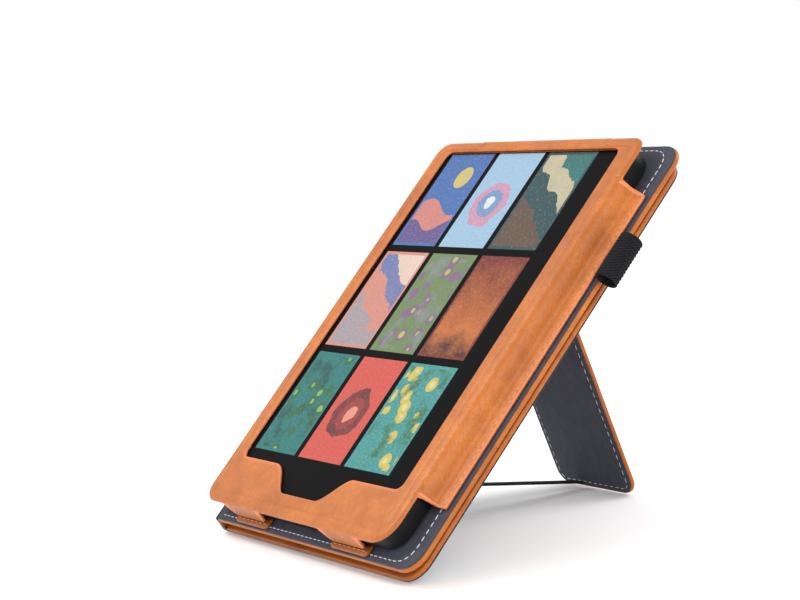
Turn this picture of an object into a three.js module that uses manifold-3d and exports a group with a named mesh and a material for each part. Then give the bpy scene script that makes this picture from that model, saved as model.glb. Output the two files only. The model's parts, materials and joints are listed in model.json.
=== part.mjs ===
// E-reader in its leather folio: the reader sits in a sewn holder on the back cover, the front cover is
// folded right round behind it, and a kickstand with a ribbon stay props the pair up on a table.
// Units are millimetres and +Z is up. The object stands on z = 0, centred on x = 0 and y = 0.
import * as THREE from "three";
import { mergeVertices } from "three/addons/utils/BufferGeometryUtils.js";
import Module from "manifold-3d";

const wasm = await Module();
wasm.setup();

// ---- Driving dimensions --------------------------------------------------------------------------
const tilt = 46.4; // degrees between the screen and the table
const gap = 0.25; // clearance between pieces that lie face to face
const slack = 0.4; // room between the reader and the walls of its holder

// Covers and spine
const coverMarginRight = 10.7; // past the reader
const coverMarginTop = 6.8; // past the reader
const coverCorner = 9;
const coverLeather = 0.7;
const coverBoard = 0.8;
const coverLining = 0.6;
const rimWidth = 1.1; // turned edge of the outer leather
const liningInset = 0.3;
const closedClearance = 0.6; // left between the holder and the folded kickstand in a closed folio
const foldedDepth = 10.8; // from lining to lining with the front cover folded behind
const backCreaseEase = 0.31; // added to the soft width that the first crease needs to fold
const frontCreaseEase = 0.14; // and to that of the second crease
const creaseLeather = 1.2;

// Reader
const readerWidth = 127.6;
const readerHeight = 176.7;
const readerThickness = 7.8;
const readerCorner = 9;
const readerLeft = 4.7; // from the first crease
const readerBottom = 5.5; // from the bottom edge of the cover
const housingWall = 1.2;
const housingFloor = 1.0;
const glassThickness = 0.8;
const guideThickness = 0.5;
const panelThickness = 0.9;
const frameThickness = 0.8;
const boardThickness = 0.9;
const panelWidth = 108;
const panelHeight = 152;
const batteryWidth = 62;
const batteryHeight = 88;
const padThickness = 0.75;

// Holder frame
const holderLeather = 1.2;
const holderLeft = 0.4;
const holderOverhang = 1.8; // past the reader at the right and the top
const holderFoot = 2.1; // past the reader at the bottom
const holderCorner = 7;
const bezelLeft = 4.7; // reader covered at the left of the window
const bezelRight = 8.7;
const bezelBottom = 19.1;
const bezelTop = 2.7;
const windowCorner = 3.5;
const notchShift = -3; // from the reader's middle
const notchBottom = 13;
const notchHalfFloor = 14;
const notchHalfMouth = 27;
const wallOverlap = 1.5; // how far each wall's profile runs into the face
const wallLean = 0.6; // share of the leather's thickness that a wall leans out by at its top
const flangeWidth = 5;
const flangeBottom = 25;
const flangeShort = 17.2; // how far the side wall stops below the reader's top
const tabWidth = 25;
const tabCentres = [30, 101.5];
const tabReach = 4; // how far a tab lies out over the lining
const headFlapLeft = 32;
const headFlapRight = 112;
const headFlapReach = 2.4;

// Pen loop
const penBore = 7.4;
const penWall = 0.8;
const penLength = 19;
const penBottom = 126;
const penRise = 0.2; // axis above the lining surface

// Kickstand
const standLeft = 28.5; // from the second crease
const standWidth = 50;
const standLength = 119.5;
const standCorner = 7;
const standHingeHeight = 155; // up the front cover
const standLeather = 0.7;
const standBoard = 0.6;
const standLining = 0.7;
const standEdge = 1.2;
const stayWidth = 6;
const stayThickness = 0.8;
const stayAnchor = 28; // up the front cover
const stayFromFoot = 3;
const stayX = 46; // from the second crease
const hingeTapeWidth = 9;
const hingeTape = 0.6;
const hingeTapeInset = 2; // from each side of the panel

// Hand strap
const strapCentre = 102.5; // from the second crease
const strapWidth = 22;
const strapBottom = 55;
const strapTop = 132;
const strapLeather = 0.8;
const strapLining = 0.4;
const elasticLength = 20;
const elasticWidth = 20;
const elasticThickness = 0.8;
const strapCorner = 2;
const strapLiningInset = 0.5;

// Magnets that wake the reader and hold the folio shut
const magnetWidth = 4;
const magnetLength = 14;
const magnetHeights = [48, 128];
const magnetInset = 6;

// Small hardware of the reader
const buttonWidth = 9;
const buttonHeight = 2.2;
const buttonProud = 0.3;
const buttonTravel = 0.35;
const buttonX = 54;
const buttonDrop = 1.45; // from the mid frame down to the button's middle
const portX = 70;
const portWidth = 9;
const portHeight = 3.2;
const portDepth = 7;
const portWall = 0.5;
const portDrop = 1.05; // from the mid frame down to the port's middle
const screwRadius = 1.1;
const screwLength = 1.5;
const screwInset = 7;
const screwSides = 12;
const stemLength = 3.5; // of the button, inside the housing's wall
const stemHalfWidth = 1;
const stemHalfHeight = 0.6;
const switchLength = 2.5;
const switchHalfWidth = 2.5;
const switchHalfHeight = 1.1;

// Inside the reader: heights are counted from its lower edge or from the main board's
const panelTopMargin = 1;
const ledStripHeight = 3;
const boardBottom = 12;
const boardHeight = 52;
const boardSideMargin = 6;
const shieldLeft = 8;
const shieldRight = 44;
const shieldLow = 16;
const shieldHigh = 44;
const batteryAboveBoard = 6;
const batteryCorner = 3;
const flexWidth = 18;
const flexSideMargin = 6;
const flexLow = 20;
const flexTopMargin = 4;
const flexThickness = 0.3;
const portInset = 0.3;
const portBackWall = 1;

const coverWidth = readerLeft + readerWidth + coverMarginRight;
const coverHeight = readerBottom + readerHeight + coverMarginTop;
const coverThickness = coverLeather + gap + coverBoard + gap + coverLining;
const standThickness = standLeather + gap + standBoard + gap + standLining;
const readerBack = gap + padThickness + gap; // height of the reader's back over the lining
// The reader's stack from the glass down, as heights over the reader's back.
const glassBase = readerThickness - glassThickness;
const guideBase = glassBase - gap - guideThickness;
const panelBase = guideBase - gap - panelThickness;
const frameBase = panelBase - gap - frameThickness;
const buttonZ = frameBase - buttonDrop;
const portZ = frameBase - portDrop;
const holderBase = readerBack + readerThickness + gap;
const holderTop = holderBase + holderLeather;
const holderRight = readerLeft + readerWidth + holderOverhang;
const holderHeel = readerBottom - holderFoot;
const holderHead = readerBottom + readerHeight + holderOverhang;
const windowLeft = readerLeft + bezelLeft;
const windowRight = readerLeft + readerWidth - bezelRight;
const windowBottom = readerBottom + bezelBottom;
const windowTop = readerBottom + readerHeight - bezelTop;
const notchCentre = readerLeft + readerWidth / 2 + notchShift;
const spineWidth = holderTop + standThickness + closedClearance; // crease to crease
const radians = Math.PI / 180;
const foldLean = Math.acos(foldedDepth / spineWidth); // the spine leans this far when folded back
// Width of the soft leather beside each crease: two covers of this thickness just clear each other.
const creaseNeed = (angle) => coverThickness / Math.tan(angle / 2);
const backCreaseSoft = creaseNeed(Math.PI / 2 + foldLean) + backCreaseEase;
const frontCreaseSoft = creaseNeed(Math.PI / 2 - foldLean) + frontCreaseEase;

// ---- Materials -----------------------------------------------------------------------------------
const finish = (color, roughness, metalness = 0) =>
  new THREE.MeshStandardMaterial({ color, roughness, metalness });
const tanLeather = finish(0xc9762f, 0.45);
const navyLining = finish(0x333848, 0.85);
const greyBoard = finish(0x8d8578, 0.9);
const blackElastic = finish(0x1b1b1e, 0.8);
const blackPlastic = finish(0x17181a, 0.5);
const darkGlass = finish(0x202326, 0.15);
const clearGuide = finish(0xe8eef0, 0.1);
const paperPanel = finish(0xd8d8d2, 0.6);
const circuitGreen = finish(0x1f5a38, 0.6);
const brightMetal = finish(0xb8babd, 0.3, 0.9);
const batteryFoil = finish(0x3d3f44, 0.5);
const amberFilm = finish(0xb9742a, 0.4);

// ---- Shape helpers -------------------------------------------------------------------------------
const arcSteps = 6;
const weldDistance = 1e-4;
const through = 1; // how far a cutting tool runs past the face that it opens

// A rectangle from (x0, y0) to (x1, y1) with its corner radii given from bottom left, anticlockwise.
function roundedRect(x0, y0, x1, y1, radii) {
  const [r0, r1, r2, r3] = Array.isArray(radii) ? radii : [radii, radii, radii, radii];
  const shape = new THREE.Shape();
  shape.moveTo(x0 + r0, y0);
  shape.lineTo(x1 - r1, y0);
  if (r1 > 0) shape.absarc(x1 - r1, y0 + r1, r1, -Math.PI / 2, 0, false);
  shape.lineTo(x1, y1 - r2);
  if (r2 > 0) shape.absarc(x1 - r2, y1 - r2, r2, 0, Math.PI / 2, false);
  shape.lineTo(x0 + r3, y1);
  if (r3 > 0) shape.absarc(x0 + r3, y1 - r3, r3, Math.PI / 2, Math.PI, false);
  shape.lineTo(x0, y0 + r0);
  if (r0 > 0) shape.absarc(x0 + r0, y0 + r0, r0, Math.PI, 1.5 * Math.PI, false);
  return shape;
}

function polygon(points) {
  return new THREE.Shape(points.map(([x, y]) => new THREE.Vector2(x, y)));
}

// A flat plate: an outline in x and y between two heights.
function plate(shape, z0, z1) {
  const made = new THREE.ExtrudeGeometry(shape, {
    depth: z1 - z0,
    bevelEnabled: false,
    curveSegments: arcSteps,
  });
  return made.translate(0, 0, z0);
}

// A profile in x and z carried along y.
function alongY(shape, y0, y1) {
  const made = plate(shape, 0, y1 - y0);
  const turn = new THREE.Matrix4().makeBasis(
    new THREE.Vector3(1, 0, 0),
    new THREE.Vector3(0, 0, 1),
    new THREE.Vector3(0, -1, 0),
  );
  return made.applyMatrix4(turn).translate(0, y1, 0);
}

// A profile in y and z carried along x.
function alongX(shape, x0, x1) {
  const made = plate(shape, 0, x1 - x0);
  const turn = new THREE.Matrix4().makeBasis(
    new THREE.Vector3(0, 1, 0),
    new THREE.Vector3(0, 0, 1),
    new THREE.Vector3(1, 0, 0),
  );
  return made.applyMatrix4(turn).translate(x0, 0, 0);
}

function box(x0, x1, y0, y1, z0, z1) {
  const made = new THREE.BoxGeometry(x1 - x0, y1 - y0, z1 - z0);
  return made.translate((x0 + x1) / 2, (y0 + y1) / 2, (z0 + z1) / 2);
}

function solidOf(geometry) {
  const bare = geometry.clone();
  bare.deleteAttribute("normal");
  bare.deleteAttribute("uv");
  const merged = mergeVertices(bare, weldDistance);
  return new wasm.Manifold(
    new wasm.Mesh({
      numProp: 3,
      vertProperties: merged.attributes.position.array,
      triVerts: new Uint32Array(merged.index.array),
    }),
  );
}

function geometryOf(solid) {
  const mesh = solid.getMesh();
  const made = new THREE.BufferGeometry();
  made.setAttribute("position", new THREE.BufferAttribute(new Float32Array(mesh.vertProperties), 3));
  made.setIndex(new THREE.BufferAttribute(new Uint32Array(mesh.triVerts), 1));
  made.computeVertexNormals();
  return made;
}

function join(...parts) {
  return geometryOf(parts.map(solidOf).reduce((whole, part) => whole.add(part)));
}

function cut(body, ...tools) {
  return geometryOf(tools.map(solidOf).reduce((left, tool) => left.subtract(tool), solidOf(body)));
}

function addPiece(parent, name, geometry, material) {
  const mesh = new THREE.Mesh(geometry, material);
  mesh.name = name;
  parent.add(mesh);
}

// ---- Covers --------------------------------------------------------------------------------------
// Layers of a cover, counted from the lining surface at 0 towards the outer leather at coverThickness.
const liningEnd = coverLining;
const boardStart = liningEnd + gap;
const boardEnd = boardStart + coverBoard;
const leatherStart = boardEnd + gap;

// The pieces of one cover between x0 and x1. side is +1 where the leather faces +z, -1 where it faces -z.
function addCover(parent, prefix, x0, x1, corner, side, pockets) {
  const radii = [0, corner, corner, 0];
  const span = (a, b) => (side > 0 ? [a, b] : [-b, -a]);
  const inner = corner > rimWidth ? corner - rimWidth : 0;
  const well = roundedRect(
    x0 - rimWidth,
    rimWidth,
    x1 - rimWidth,
    coverHeight - rimWidth,
    [0, inner, inner, 0],
  );
  const shell = plate(
    roundedRect(x0, 0, x1, coverHeight, radii),
    ...span(boardStart, coverThickness),
  );
  const hollow = plate(well, ...span(boardStart - through, leatherStart));
  addPiece(parent, prefix + "_leather", cut(shell, hollow), tanLeather);

  const boardOutline = roundedRect(
    x0 + gap,
    rimWidth + gap,
    x1 - rimWidth - gap,
    coverHeight - rimWidth - gap,
    [0, inner, inner, 0],
  );
  const board = plate(boardOutline, ...span(boardStart, boardEnd));
  const holes = pockets.map((p) => plate(p, ...span(boardStart - through, boardEnd + through)));
  addPiece(parent, prefix + "_board", holes.length ? cut(board, ...holes) : board, greyBoard);

  const lining = roundedRect(
    x0,
    liningInset,
    x1 - liningInset,
    coverHeight - liningInset,
    radii,
  );
  addPiece(parent, prefix + "_lining", plate(lining, ...span(0, liningEnd)), navyLining);
}

// ---- The folio and its moving groups -------------------------------------------------------------
const object = new THREE.Group();
const folio = new THREE.Group(); // x across, y up the screen, z out of the screen, 0 at the lining
folio.rotation.x = tilt * radians;
object.add(folio);

addCover(folio, "back_cover", backCreaseSoft, coverWidth, coverCorner, -1, []);

const spine = new THREE.Group(); // x from the first crease to the second, z towards the leather
spine.rotation.y = Math.PI / 2 + foldLean;
folio.add(spine);
const spineEnd = spineWidth - frontCreaseSoft;
const spinePlate = (z0, z1) => box(backCreaseSoft, spineEnd, 0, coverHeight, z0, z1);
addPiece(spine, "spine_lining", spinePlate(0, liningEnd), navyLining);
addPiece(spine, "spine_stiffener", spinePlate(boardStart, boardEnd), greyBoard);
addPiece(spine, "spine_leather", spinePlate(leatherStart, coverThickness), tanLeather);

const creaseX = -spineWidth * Math.sin(foldLean);
const front = new THREE.Group(); // x from the second crease, z towards the leather
front.position.set(creaseX, 0, -foldedDepth);
folio.add(front);

const magnetX = coverWidth - magnetInset - magnetWidth;
const magnetOutline = (y, grow) =>
  roundedRect(
    magnetX - grow,
    y - grow,
    magnetX + magnetWidth + grow,
    y + magnetLength + grow,
    0,
  );
addCover(
  front,
  "front_cover",
  frontCreaseSoft,
  coverWidth,
  coverCorner,
  1,
  magnetHeights.map((y) => magnetOutline(y, gap)),
);
magnetHeights.forEach((y, i) => {
  const magnet = plate(magnetOutline(y, 0), boardStart, boardEnd);
  addPiece(front, "closing_magnet_" + (i + 1), magnet, brightMetal);
});

// A soft hinge: a bent strip of leather of one thickness between two directions that leave one point.
function creaseStrip(directionA, directionB, reach) {
  const inside = directionA.clone().add(directionB).normalize();
  const half = Math.acos(directionA.dot(inside));
  const normalTo = (d) => {
    const n = new THREE.Vector2(-d.y, d.x);
    return n.dot(inside) > 0 ? n : n.negate();
  };
  const at = (d, along, deep) => {
    const n = normalTo(d);
    return [d.x * along + n.x * deep, d.y * along + n.y * deep];
  };
  const elbow = inside.clone().multiplyScalar(creaseLeather / Math.sin(half));
  const outline = [
    [0, 0],
    at(directionA, reach, 0),
    at(directionA, reach, creaseLeather),
    [elbow.x, elbow.y],
    at(directionB, reach, creaseLeather),
    at(directionB, reach, 0),
  ];
  const area = outline.reduce((sum, [x, y], i) => {
    const [nx, ny] = outline[(i + 1) % outline.length];
    return sum + x * ny - nx * y;
  }, 0);
  const wound = area > 0 ? outline : outline.reverse();
  return alongY(polygon(wound), liningInset, coverHeight - liningInset);
}
const across = new THREE.Vector2(1, 0);
const spineDown = new THREE.Vector2(-Math.sin(foldLean), -Math.cos(foldLean));
const spineUp = spineDown.clone().negate();
addPiece(
  folio,
  "back_crease_leather",
  creaseStrip(across, spineDown, backCreaseSoft - gap),
  tanLeather,
);
addPiece(
  front,
  "front_crease_leather",
  creaseStrip(across, spineUp, frontCreaseSoft - gap),
  tanLeather,
);

// ---- Holder --------------------------------------------------------------------------------------
const padOutline = roundedRect(
  readerLeft + readerCorner,
  readerBottom + readerCorner,
  readerLeft + readerWidth - readerCorner,
  readerBottom + readerHeight - readerCorner,
  readerCorner,
);
addPiece(folio, "reader_rest_pad", plate(padOutline, gap, gap + padThickness), blackElastic);

// The window: a rounded rectangle with a dip in its lower edge for the reader's chin.
function windowShape() {
  const shape = new THREE.Shape();
  const r = windowCorner;
  const bend = (notchHalfMouth - notchHalfFloor) / 2;
  const left = notchCentre - notchHalfFloor;
  const right = notchCentre + notchHalfFloor;
  shape.moveTo(windowLeft + r, windowBottom);
  shape.lineTo(notchCentre - notchHalfMouth, windowBottom);
  shape.bezierCurveTo(left - bend, windowBottom, left - bend, notchBottom, left, notchBottom);
  shape.lineTo(right, notchBottom);
  shape.bezierCurveTo(
    right + bend,
    notchBottom,
    right + bend,
    windowBottom,
    notchCentre + notchHalfMouth,
    windowBottom,
  );
  shape.lineTo(windowRight - r, windowBottom);
  shape.absarc(windowRight - r, windowBottom + r, r, -Math.PI / 2, 0, false);
  shape.lineTo(windowRight, windowTop - r);
  shape.absarc(windowRight - r, windowTop - r, r, 0, Math.PI / 2, false);
  shape.lineTo(windowLeft + r, windowTop);
  shape.absarc(windowLeft + r, windowTop - r, r, Math.PI / 2, Math.PI, false);
  shape.lineTo(windowLeft, windowBottom + r);
  shape.absarc(windowLeft + r, windowBottom + r, r, Math.PI, 1.5 * Math.PI, false);
  return shape;
}

// The profile of a wall that drops from the holder's face to a strip sewn flat on the lining.
// wall is where the reader's side ends, out is the direction away from it and reach the strip's width.
function wallProfile(wall, out, reach, inside) {
  const foot = wall + out * slack;
  const points = [
    [foot + out * gap, gap],
    [foot + out * (gap + holderLeather + reach), gap],
    [foot + out * (gap + holderLeather + reach), gap + holderLeather],
    [foot + out * (gap + holderLeather), gap + holderLeather],
    [foot + out * holderLeather, holderTop - holderLeather / 2],
    [foot + out * holderLeather * wallLean, holderTop],
    [wall - out * inside, holderTop],
    [wall - out * inside, holderBase],
    [foot, holderBase],
  ];
  return polygon(out > 0 ? points : points.reverse());
}

const holderFace = cut(
  plate(
    roundedRect(holderLeft, holderHeel, holderRight, holderHead, [
      holderCorner,
      readerCorner + holderOverhang,
      holderCorner,
      holderCorner,
    ]),
    holderBase,
    holderTop,
  ),
  plate(windowShape(), holderBase - through, holderTop + through),
);
const readerRight = readerLeft + readerWidth;
const readerTop = readerBottom + readerHeight;
const sideWall = alongY(
  wallProfile(readerRight, 1, flangeWidth, wallOverlap),
  flangeBottom,
  readerTop - flangeShort,
);
const headWall = alongX(
  wallProfile(readerTop, 1, headFlapReach, wallOverlap),
  headFlapLeft,
  headFlapRight,
);
const tabProfile = wallProfile(readerBottom, -1, tabReach - holderLeather, wallOverlap);
const tabWalls = tabCentres.map((x) => alongX(tabProfile, x - tabWidth / 2, x + tabWidth / 2));
addPiece(folio, "holder_leather", join(holderFace, sideWall, headWall, ...tabWalls), tanLeather);

// ---- Pen loop ------------------------------------------------------------------------------------
const penRadius = penBore / 2 + penWall;
const penX = coverWidth + gap + penRadius;
const ring = (r) => {
  const shape = new THREE.Shape();
  shape.absarc(penX, penRise, r, 0, 2 * Math.PI, false);
  return shape;
};
const penTube = ring(penRadius);
penTube.holes.push(ring(penBore / 2));
addPiece(folio, "pen_loop", alongY(penTube, penBottom, penBottom + penLength), blackElastic);

// ---- Reader --------------------------------------------------------------------------------------
const reader = new THREE.Group(); // origin at its lower left back corner
reader.position.set(readerLeft, readerBottom, readerBack);
folio.add(reader);

const cavity = (inset, corner) =>
  roundedRect(inset, inset, readerWidth - inset, readerHeight - inset, corner);
const buttonHole = box(
  buttonX - buttonWidth / 2 - gap,
  buttonX + buttonWidth / 2 + gap,
  -through,
  housingWall + through,
  buttonZ - buttonHeight / 2 - gap,
  buttonZ + buttonHeight / 2 + gap,
);
const portHole = box(
  portX - portWidth / 2 - gap,
  portX + portWidth / 2 + gap,
  -through,
  housingWall + through,
  portZ - portHeight / 2 - gap,
  portZ + portHeight / 2 + gap,
);
const shellOuter = plate(cavity(0, readerCorner), 0, readerThickness);
const shellWell = plate(
  cavity(housingWall, readerCorner - housingWall),
  housingFloor,
  readerThickness + through,
);
addPiece(
  reader,
  "rear_housing",
  cut(shellOuter, shellWell, buttonHole, portHole),
  blackPlastic,
);

// The stack under the glass, from the front down.
const innerInset = housingWall + gap;
const innerCorner = readerCorner - innerInset;
const panelX = (readerWidth - panelWidth) / 2;
const panelY = readerHeight - panelHeight - innerInset - panelTopMargin;
addPiece(
  reader,
  "front_glass",
  plate(cavity(innerInset, innerCorner), glassBase, readerThickness),
  darkGlass,
);
addPiece(
  reader,
  "light_guide",
  box(panelX, panelX + panelWidth, panelY, panelY + panelHeight, guideBase, guideBase + guideThickness),
  clearGuide,
);
addPiece(
  reader,
  "front_light_strip",
  box(
    panelX,
    panelX + panelWidth,
    panelY - gap - ledStripHeight,
    panelY - gap,
    guideBase,
    guideBase + guideThickness,
  ),
  amberFilm,
);
addPiece(
  reader,
  "epaper_panel",
  box(panelX, panelX + panelWidth, panelY, panelY + panelHeight, panelBase, panelBase + panelThickness),
  paperPanel,
);
const portNotch = box(
  portX - portWidth / 2 - gap,
  portX + portWidth / 2 + gap,
  0,
  portDepth + gap,
  frameBase - through,
  frameBase + frameThickness + through,
);
addPiece(
  reader,
  "mid_frame",
  cut(plate(cavity(innerInset, innerCorner), frameBase, frameBase + frameThickness), portNotch),
  brightMetal,
);

// Behind the frame: battery above, main board below with its shield, switch and port.
const bayTop = frameBase - gap;
const bayBase = housingFloor + gap;
const boardBase = bayBase + gap;
const bayX0 = innerInset + boardSideMargin;
const bayX1 = readerWidth - innerInset - boardSideMargin;
addPiece(
  reader,
  "main_board",
  box(bayX0, bayX1, boardBottom, boardBottom + boardHeight, boardBase, boardBase + boardThickness),
  circuitGreen,
);
const shieldBase = boardBase + boardThickness + gap;
addPiece(
  reader,
  "shield_can",
  box(
    bayX0 + shieldLeft,
    bayX0 + shieldRight,
    boardBottom + shieldLow,
    boardBottom + shieldHigh,
    shieldBase,
    bayTop,
  ),
  brightMetal,
);
const batteryX = (readerWidth - batteryWidth) / 2;
const batteryY = boardBottom + boardHeight + batteryAboveBoard;
addPiece(
  reader,
  "battery_cell",
  plate(
    roundedRect(
      batteryX,
      batteryY,
      batteryX + batteryWidth,
      batteryY + batteryHeight,
      batteryCorner,
    ),
    bayBase,
    bayTop,
  ),
  batteryFoil,
);
addPiece(
  reader,
  "display_flex",
  box(
    bayX1 - flexWidth - flexSideMargin,
    bayX1 - flexSideMargin,
    boardBottom + flexLow,
    boardBottom + boardHeight - flexTopMargin,
    shieldBase,
    shieldBase + flexThickness,
  ),
  amberFilm,
);
addPiece(
  reader,
  "usb_port",
  cut(
    box(
      portX - portWidth / 2,
      portX + portWidth / 2,
      portInset,
      portDepth,
      portZ - portHeight / 2,
      portZ + portHeight / 2,
    ),
    box(
      portX - portWidth / 2 + portWall,
      portX + portWidth / 2 - portWall,
      -through,
      portDepth - portBackWall,
      portZ - portHeight / 2 + portWall,
      portZ + portHeight / 2 - portWall,
    ),
  ),
  brightMetal,
);
const stemEnd = housingWall + stemLength;
const capHalf = buttonWidth / 2;
addPiece(
  reader,
  "power_button",
  join(
    box(
      buttonX - capHalf,
      buttonX + capHalf,
      -buttonProud,
      housingWall + buttonTravel,
      buttonZ - buttonHeight / 2,
      buttonZ + buttonHeight / 2,
    ),
    box(
      buttonX - stemHalfWidth,
      buttonX + stemHalfWidth,
      housingWall,
      stemEnd,
      buttonZ - stemHalfHeight,
      buttonZ + stemHalfHeight,
    ),
  ),
  blackPlastic,
);
const switchStart = stemEnd + buttonTravel + gap;
addPiece(
  reader,
  "button_switch",
  box(
    buttonX - switchHalfWidth,
    buttonX + switchHalfWidth,
    switchStart,
    switchStart + switchLength,
    buttonZ - switchHalfHeight,
    buttonZ + switchHalfHeight,
  ),
  brightMetal,
);
const screwPlaces = [
  [screwInset, screwInset],
  [readerWidth - screwInset, screwInset],
  [screwInset, readerHeight - screwInset],
  [readerWidth - screwInset, readerHeight - screwInset],
];
screwPlaces.forEach(([x, y], i) => {
  const screw = new THREE.CylinderGeometry(screwRadius, screwRadius, screwLength, screwSides);
  screw.rotateX(Math.PI / 2).translate(x, y, bayTop - screwLength / 2);
  addPiece(reader, "frame_screw_" + (i + 1), screw, brightMetal);
});

// ---- Kickstand -----------------------------------------------------------------------------------
// The panel hangs from its hinge along -y with its lining towards the cover, and its lower edge
// stands on the table: the swing follows from the hinge's height and the panel's length.
const hingeZ = -gap / 2;
const standInner = gap / 2; // from the hinge axis to the panel's inner face
const tiltAngle = tilt * radians;
const liningLow = liningInset * Math.sin(tiltAngle);
const hingeHeight =
  standHingeHeight * Math.sin(tiltAngle) + hingeZ * Math.cos(tiltAngle) - liningLow;
const panelSlope =
  Math.asin(hingeHeight / Math.hypot(standLength, standInner)) + Math.atan(standInner / standLength);
const standSwing = Math.PI - panelSlope - tiltAngle;

const stand = new THREE.Group();
stand.position.set(0, standHingeHeight, hingeZ);
stand.rotation.x = standSwing;
front.add(stand);

const standRight = standLeft + standWidth;
const standOutline = (inset) =>
  roundedRect(
    standLeft + inset,
    -standLength + inset,
    standRight - inset,
    -inset,
    [standCorner - inset, standCorner - inset, 0, 0],
  );
const standLiningEnd = standInner + standLining;
const standBoardStart = standLiningEnd + gap;
const standBoardEnd = standBoardStart + standBoard;
const standLeatherStart = standBoardEnd + gap;
const standOuter = standLeatherStart + standLeather;
addPiece(
  stand,
  "kickstand_lining",
  plate(standOutline(0), -standLiningEnd, -standInner),
  navyLining,
);
addPiece(
  stand,
  "kickstand_board",
  plate(standOutline(standEdge + gap), -standBoardEnd, -standBoardStart),
  greyBoard,
);
addPiece(
  stand,
  "kickstand_leather",
  cut(
    plate(standOutline(0), -standOuter, -standBoardStart),
    plate(standOutline(standEdge), -standLeatherStart, through),
  ),
  tanLeather,
);

// The tape that hinges the panel lies on the cover above it, clear of the panel's swinging head.
const tapeBottom = standHingeHeight + standOuter + gap;
addPiece(
  front,
  "kickstand_hinge_tape",
  box(
    standLeft + hingeTapeInset,
    standRight - hingeTapeInset,
    tapeBottom,
    tapeBottom + hingeTapeWidth,
    -gap - hingeTape,
    -gap,
  ),
  navyLining,
);

// The ribbon stay runs straight from the cover to the panel's inner face near its foot.
const stayLow = new THREE.Vector2(stayAnchor, -2 * gap - stayThickness / 2);
const footAlong = standLength - stayFromFoot;
const stayClear = gap + stayThickness - standInner;
const stayFoot = new THREE.Vector2(
  standHingeHeight - footAlong * Math.cos(standSwing) - stayClear * Math.sin(standSwing),
  hingeZ - footAlong * Math.sin(standSwing) + stayClear * Math.cos(standSwing),
);
const staySpan = stayFoot.clone().sub(stayLow);
const stay = new THREE.Group();
stay.position.set(stayX, stayLow.x, stayLow.y);
stay.rotation.x = Math.atan2(staySpan.y, staySpan.x);
front.add(stay);
const stayTrim = stayThickness / 2;
addPiece(
  stay,
  "stay_ribbon",
  box(
    -stayWidth / 2,
    stayWidth / 2,
    stayTrim,
    staySpan.length() - stayTrim,
    -stayThickness / 2,
    stayThickness / 2,
  ),
  blackElastic,
);

// ---- Hand strap ----------------------------------------------------------------------------------
const strap = new THREE.Group(); // lies on the front cover's lining
strap.position.set(strapCentre, 0, -gap);
front.add(strap);
const strapOutline = (inset) =>
  roundedRect(
    -strapWidth / 2 + inset,
    strapBottom + inset,
    strapWidth / 2 - inset,
    strapTop - inset,
    strapCorner,
  );
addPiece(strap, "hand_strap_lining", plate(strapOutline(strapLiningInset), -strapLining, 0), navyLining);
addPiece(
  strap,
  "hand_strap_leather",
  plate(strapOutline(0), -strapLining - gap - strapLeather, -strapLining - gap),
  tanLeather,
);
const elasticX0 = strapCentre - elasticWidth / 2;
const elasticX1 = strapCentre + elasticWidth / 2;
const elasticEnds = [
  ["strap_elastic_bottom", strapBottom - gap - elasticLength, strapBottom - gap],
  ["strap_elastic_top", strapTop + gap, strapTop + gap + elasticLength],
];
elasticEnds.forEach(([name, y0, y1]) => {
  const band = box(elasticX0, elasticX1, y0, y1, -gap - elasticThickness, -gap);
  addPiece(front, name, band, blackElastic);
});

// ---- Stand the object on z = 0 and centre it -----------------------------------------------------
object.updateMatrixWorld(true);
const bounds = new THREE.Box3().setFromObject(object, true);
folio.position.set(
  -(bounds.min.x + bounds.max.x) / 2,
  -(bounds.min.y + bounds.max.y) / 2,
  -bounds.min.z,
);

export default object;
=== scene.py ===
"""E-reader in a leather folio, propped on its kickstand: the looks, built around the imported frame.

Every soft or visible skin is computed from a few driving sizes in the folio's own axes: x across the
cover, v up the cover and w out of the screen, in millimetres. The folio's place comes from the joints
of the frame. Functions that make surfaces work on numpy grids of two parameters.
"""

import json
import logging
from dataclasses import dataclass, field
from enum import Enum
from math import cos, pi, radians, sin
from typing import Sequence

import bpy
import numpy as np
from mathutils import Matrix, Vector

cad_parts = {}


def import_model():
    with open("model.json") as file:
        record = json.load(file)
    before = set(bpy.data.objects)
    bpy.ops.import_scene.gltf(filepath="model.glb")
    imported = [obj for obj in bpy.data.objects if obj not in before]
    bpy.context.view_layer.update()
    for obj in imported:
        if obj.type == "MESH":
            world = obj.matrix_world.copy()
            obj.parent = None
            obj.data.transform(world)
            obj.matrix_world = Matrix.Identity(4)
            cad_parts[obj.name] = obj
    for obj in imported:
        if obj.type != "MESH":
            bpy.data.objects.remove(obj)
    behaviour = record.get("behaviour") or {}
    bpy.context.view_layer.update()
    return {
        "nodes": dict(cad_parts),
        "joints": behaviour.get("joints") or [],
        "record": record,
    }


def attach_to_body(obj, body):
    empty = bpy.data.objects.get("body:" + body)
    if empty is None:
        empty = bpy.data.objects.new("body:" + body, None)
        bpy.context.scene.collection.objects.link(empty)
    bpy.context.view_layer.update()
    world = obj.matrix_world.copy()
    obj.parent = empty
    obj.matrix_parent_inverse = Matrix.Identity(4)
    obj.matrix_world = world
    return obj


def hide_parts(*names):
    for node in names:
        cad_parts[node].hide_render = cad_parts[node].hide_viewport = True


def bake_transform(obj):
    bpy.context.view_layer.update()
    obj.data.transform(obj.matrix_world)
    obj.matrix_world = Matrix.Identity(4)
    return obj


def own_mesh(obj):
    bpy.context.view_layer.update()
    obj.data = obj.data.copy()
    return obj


logging.basicConfig(level=logging.INFO, format="%(message)s")
log = logging.getLogger("folio")

MM = 0.001


# ---- Driving sizes (millimetres, degrees) --------------------------------------------------------


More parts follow.
